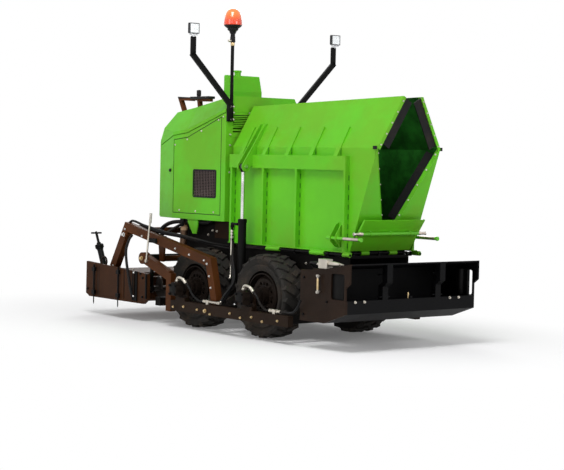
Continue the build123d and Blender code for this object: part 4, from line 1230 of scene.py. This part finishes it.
# ---- front
def apron_details():
    """Clips and bright ends of the apron's tube, and the rubber seal of its hinge."""
    x, z = 1.7, 0.999
    clips = [rod("clip", (x, y - 0.006, z), (x, y + 0.006, z), 0.0205, 20, 0.002)
             for y in (-0.243, -0.005, 0.233)]
    single("bar_clips", clips, "green_paint", "front_apron")
    seal = block("deck_seal", (1.51, -0.345, 0.772), (1.516, 0.345, 0.842))
    inset(seal, FRONT, 0.01, 0.001)
    dress(seal, "rubber")
    ends = [rod("end", (x, side * 0.422, z), (x, side * 0.432, z), 0.0155, 20, 0.003)
            for side in (-1, 1)]
    single("bar_ends", ends, "steel", "front_apron", finish="bright")


def box_details():
    """Gussets, tow pin, window shields, plug and grab handles of the front box."""
    bits = []
    for y in (-0.315, 0.315):
        for z in (0.47, 0.66):
            plate = block("gusset", (1.955, y - 0.06, z), (1.99, y + 0.06, z + 0.008), 0.001)
            inset(plate, TOP, 0.008, 0.001)
            bits.append(plate)
    pin = rod("tow_pin", (1.975, 0.0, 0.45), (1.975, 0.0, 0.47), 0.018, 24, 0.002)
    inset(pin, TOP, 0.005, 0.002)
    single("box_gussets", [*bits, pin], "black_paint", finish="cheek_paint")
    shield = block("shield", (1.795, -0.756, 0.44), (1.952, -0.738, 0.688), 0.006)
    inset(shield, LEFT, 0.012, 0.004)
    drum = rod("drum", (1.868, -0.722, 0.452), (1.868, -0.722, 0.684), 0.032, 32, 0.004)
    inset(drum, TOP, 0.008, 0.001)
    both_sides("window_shield", [shield, drum], "black_paint")
    plug = rod("plug", (1.965, -0.02, 0.449), (1.965, -0.02, 0.5), 0.008, 16, 0.002)
    inset(plug, TOP, 0.002, 0.002)
    dress(plug, "zinc", finish="brass")
    x, y = 1.663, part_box("front_box")[0][1] - 0.024
    sleeve = rod("sleeve", (x, y, 0.528), (x, y, 0.625), 0.0112, 20, 0.002)
    both_sides("handle_sleeve", [sleeve], "zinc", finish="brass")
    balls = [rod("ball", (x, y - 0.016, z), (x, y + 0.01, z), 0.013, 20, 0.005)
             for z in (0.507, 0.646)]
    both_sides("handle_ends", balls, "steel", finish="pale_grip")


# ---- hoses across the joints
HOSE_R = 0.0125
SCREED_HOSES = {
    "arm_hose_a": (HOSE_R, (
        (-0.2, -0.35, 0.79), (-0.24, -0.47, 0.805), (-0.36, -0.61, 0.85),
        (-0.55, -0.68, 0.885), (-0.79, -0.7, 0.9), (-0.96, -0.7, 0.928),
        (-1.16, -0.7, 0.952), (-1.3, -0.698, 0.985), (-1.39, -0.696, 0.99),
        (-1.44, -0.7, 0.935))),
    "arm_hose_b": (0.011, (
        (-0.16, -0.35, 0.765), (-0.23, -0.45, 0.785), (-0.36, -0.58, 0.825),
        (-0.58, -0.645, 0.865), (-0.82, -0.665, 0.878), (-1.02, -0.668, 0.905),
        (-1.2, -0.658, 0.935), (-1.32, -0.652, 0.94), (-1.4, -0.66, 0.905),
        (-1.42, -0.69, 0.87))),
    "arch_hose": (0.02, (
        (-0.4, -0.4, 1.045), (-0.42, -0.402, 1.01), (-0.55, -0.41, 1.000),
        (-0.85, -0.41, 1.000), (-1.04, -0.425, 0.99), (-1.15, -0.445, 0.95),
        (-1.19, -0.48, 0.89), (-1.17, -0.57, 0.85), (-1.14, -0.676, 0.85))),
    "drop_hose": (0.014, (
        (-0.6, -0.328, 1.045), (-0.64, -0.33, 1.000), (-0.76, -0.335, 0.995),
        (-0.92, -0.37, 0.985), (-0.99, -0.44, 0.93), (-1.01, -0.56, 0.86),
        (-1.04, -0.676, 0.835))),
}


def joint_hose(name, points, radius):
    """Hose laid over the joint between the chassis and a body, fixed in place and riding on
    neither.
    """
    hose = dress(soft_line(name, points, radius), "rubber", None, angle=60)
    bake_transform(hose)
    return hose


def loose_hoses():
    """Hoses that cross a joint: along the arm and under the hood to the screed, and to each ram."""
    for name, (radius, points) in SCREED_HOSES.items():
        joint_hose(name, points, radius)
    for side, sign in SIDES.items():
        for label, shift in (("front", 0.0), ("rear", 0.027)):
            points = [(0.076 + shift, 0.53, 0.862), (0.078 + shift, 0.533, 0.76),
                      (0.108 + shift, 0.552, 0.66), (0.18 + shift, 0.582, 0.56),
                      (0.232 + 0.5 * shift, 0.622, 0.47), (0.244, 0.668 + shift, 0.395),
                      (0.24, 0.712 + shift, 0.345), (0.236, 0.742 + 0.5 * shift, 0.305)]
            hose = joint_hose(f"ram_feed_{label}_{side}", [(x, sign * y, z) for x, y, z in points],
                              HOSE_R)
            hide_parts(f"ram_hose_{side}")


# ---- under and behind the hood
def hood_brackets():
    """Green gussets under the hood floor, beside the lift cylinders."""
    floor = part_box("hood_floor")[0][2]
    gusset = block("gusset", (-0.76, -0.442, floor - 0.03), (-0.59, -0.432, floor + 0.002))
    pull(gusset, UNDER, (0.03, 0, -0.11), (0.35, 1, 1))
    edge = block("edge", (-0.76, -0.446, floor - 0.01), (-0.59, -0.416, floor - 0.002), 0.001)
    inset(edge, UNDER, 0.004, 0.001)
    both_sides("hood_gusset", [gusset, edge], "green_paint")


def engine_details():
    """Radiator core with its tubes, and the filler cap on the engine block."""
    low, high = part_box("engine_block")
    rear, tubes = low[0], 16
    core = block("core", (rear - 0.06, low[1] + 0.03, low[2] + 0.05),
                 (rear - 0.002, high[1] - 0.03, high[2] - 0.02))
    inset(core, REAR, 0.03, -0.006)
    round_edges(core, 0.004)
    bits = [core]
    for i in range(tubes):
        z = low[2] + 0.095 + i * (high[2] - low[2] - 0.16) / (tubes - 1)
        bits.append(rod("tube", (rear - 0.058, low[1] + 0.06, z), (rear - 0.058, high[1] - 0.06, z),
                        0.004, 8))
    single("radiator", bits, "engine")
    x, top = rear - 0.03, high[2]
    cap = rod("filler", (x, 0, top - 0.022), (x, 0, top + 0.02), 0.025, 20, 0.003)
    inset(cap, TOP, 0.006, -0.003)
    dress(cap, "zinc")


# ---- build
aim_camera((11.985, -9.535, 1.62), 51.08, 2.67, 1.24, 101.2)
studio_lights()
studio_world()
studio_floor()
FINISH = {name: make(name, *values) for name, (make, *values) in FINISHES.items()}
dress_nodes()

for make in (wheels, hood_side, hood_front, grille, rear_door_details, tank_details, work_lamp,
             beacon, mouth_details, wing_welds, ram_details, hose_ends, motor_details, beam_bolts,
             arm_bolts, lever_grips, stand_details, end_plate_details, screed_fittings, screed_top,
             apron_details, box_details, loose_hoses, hood_brackets, engine_details, lamp_arms):
    make()
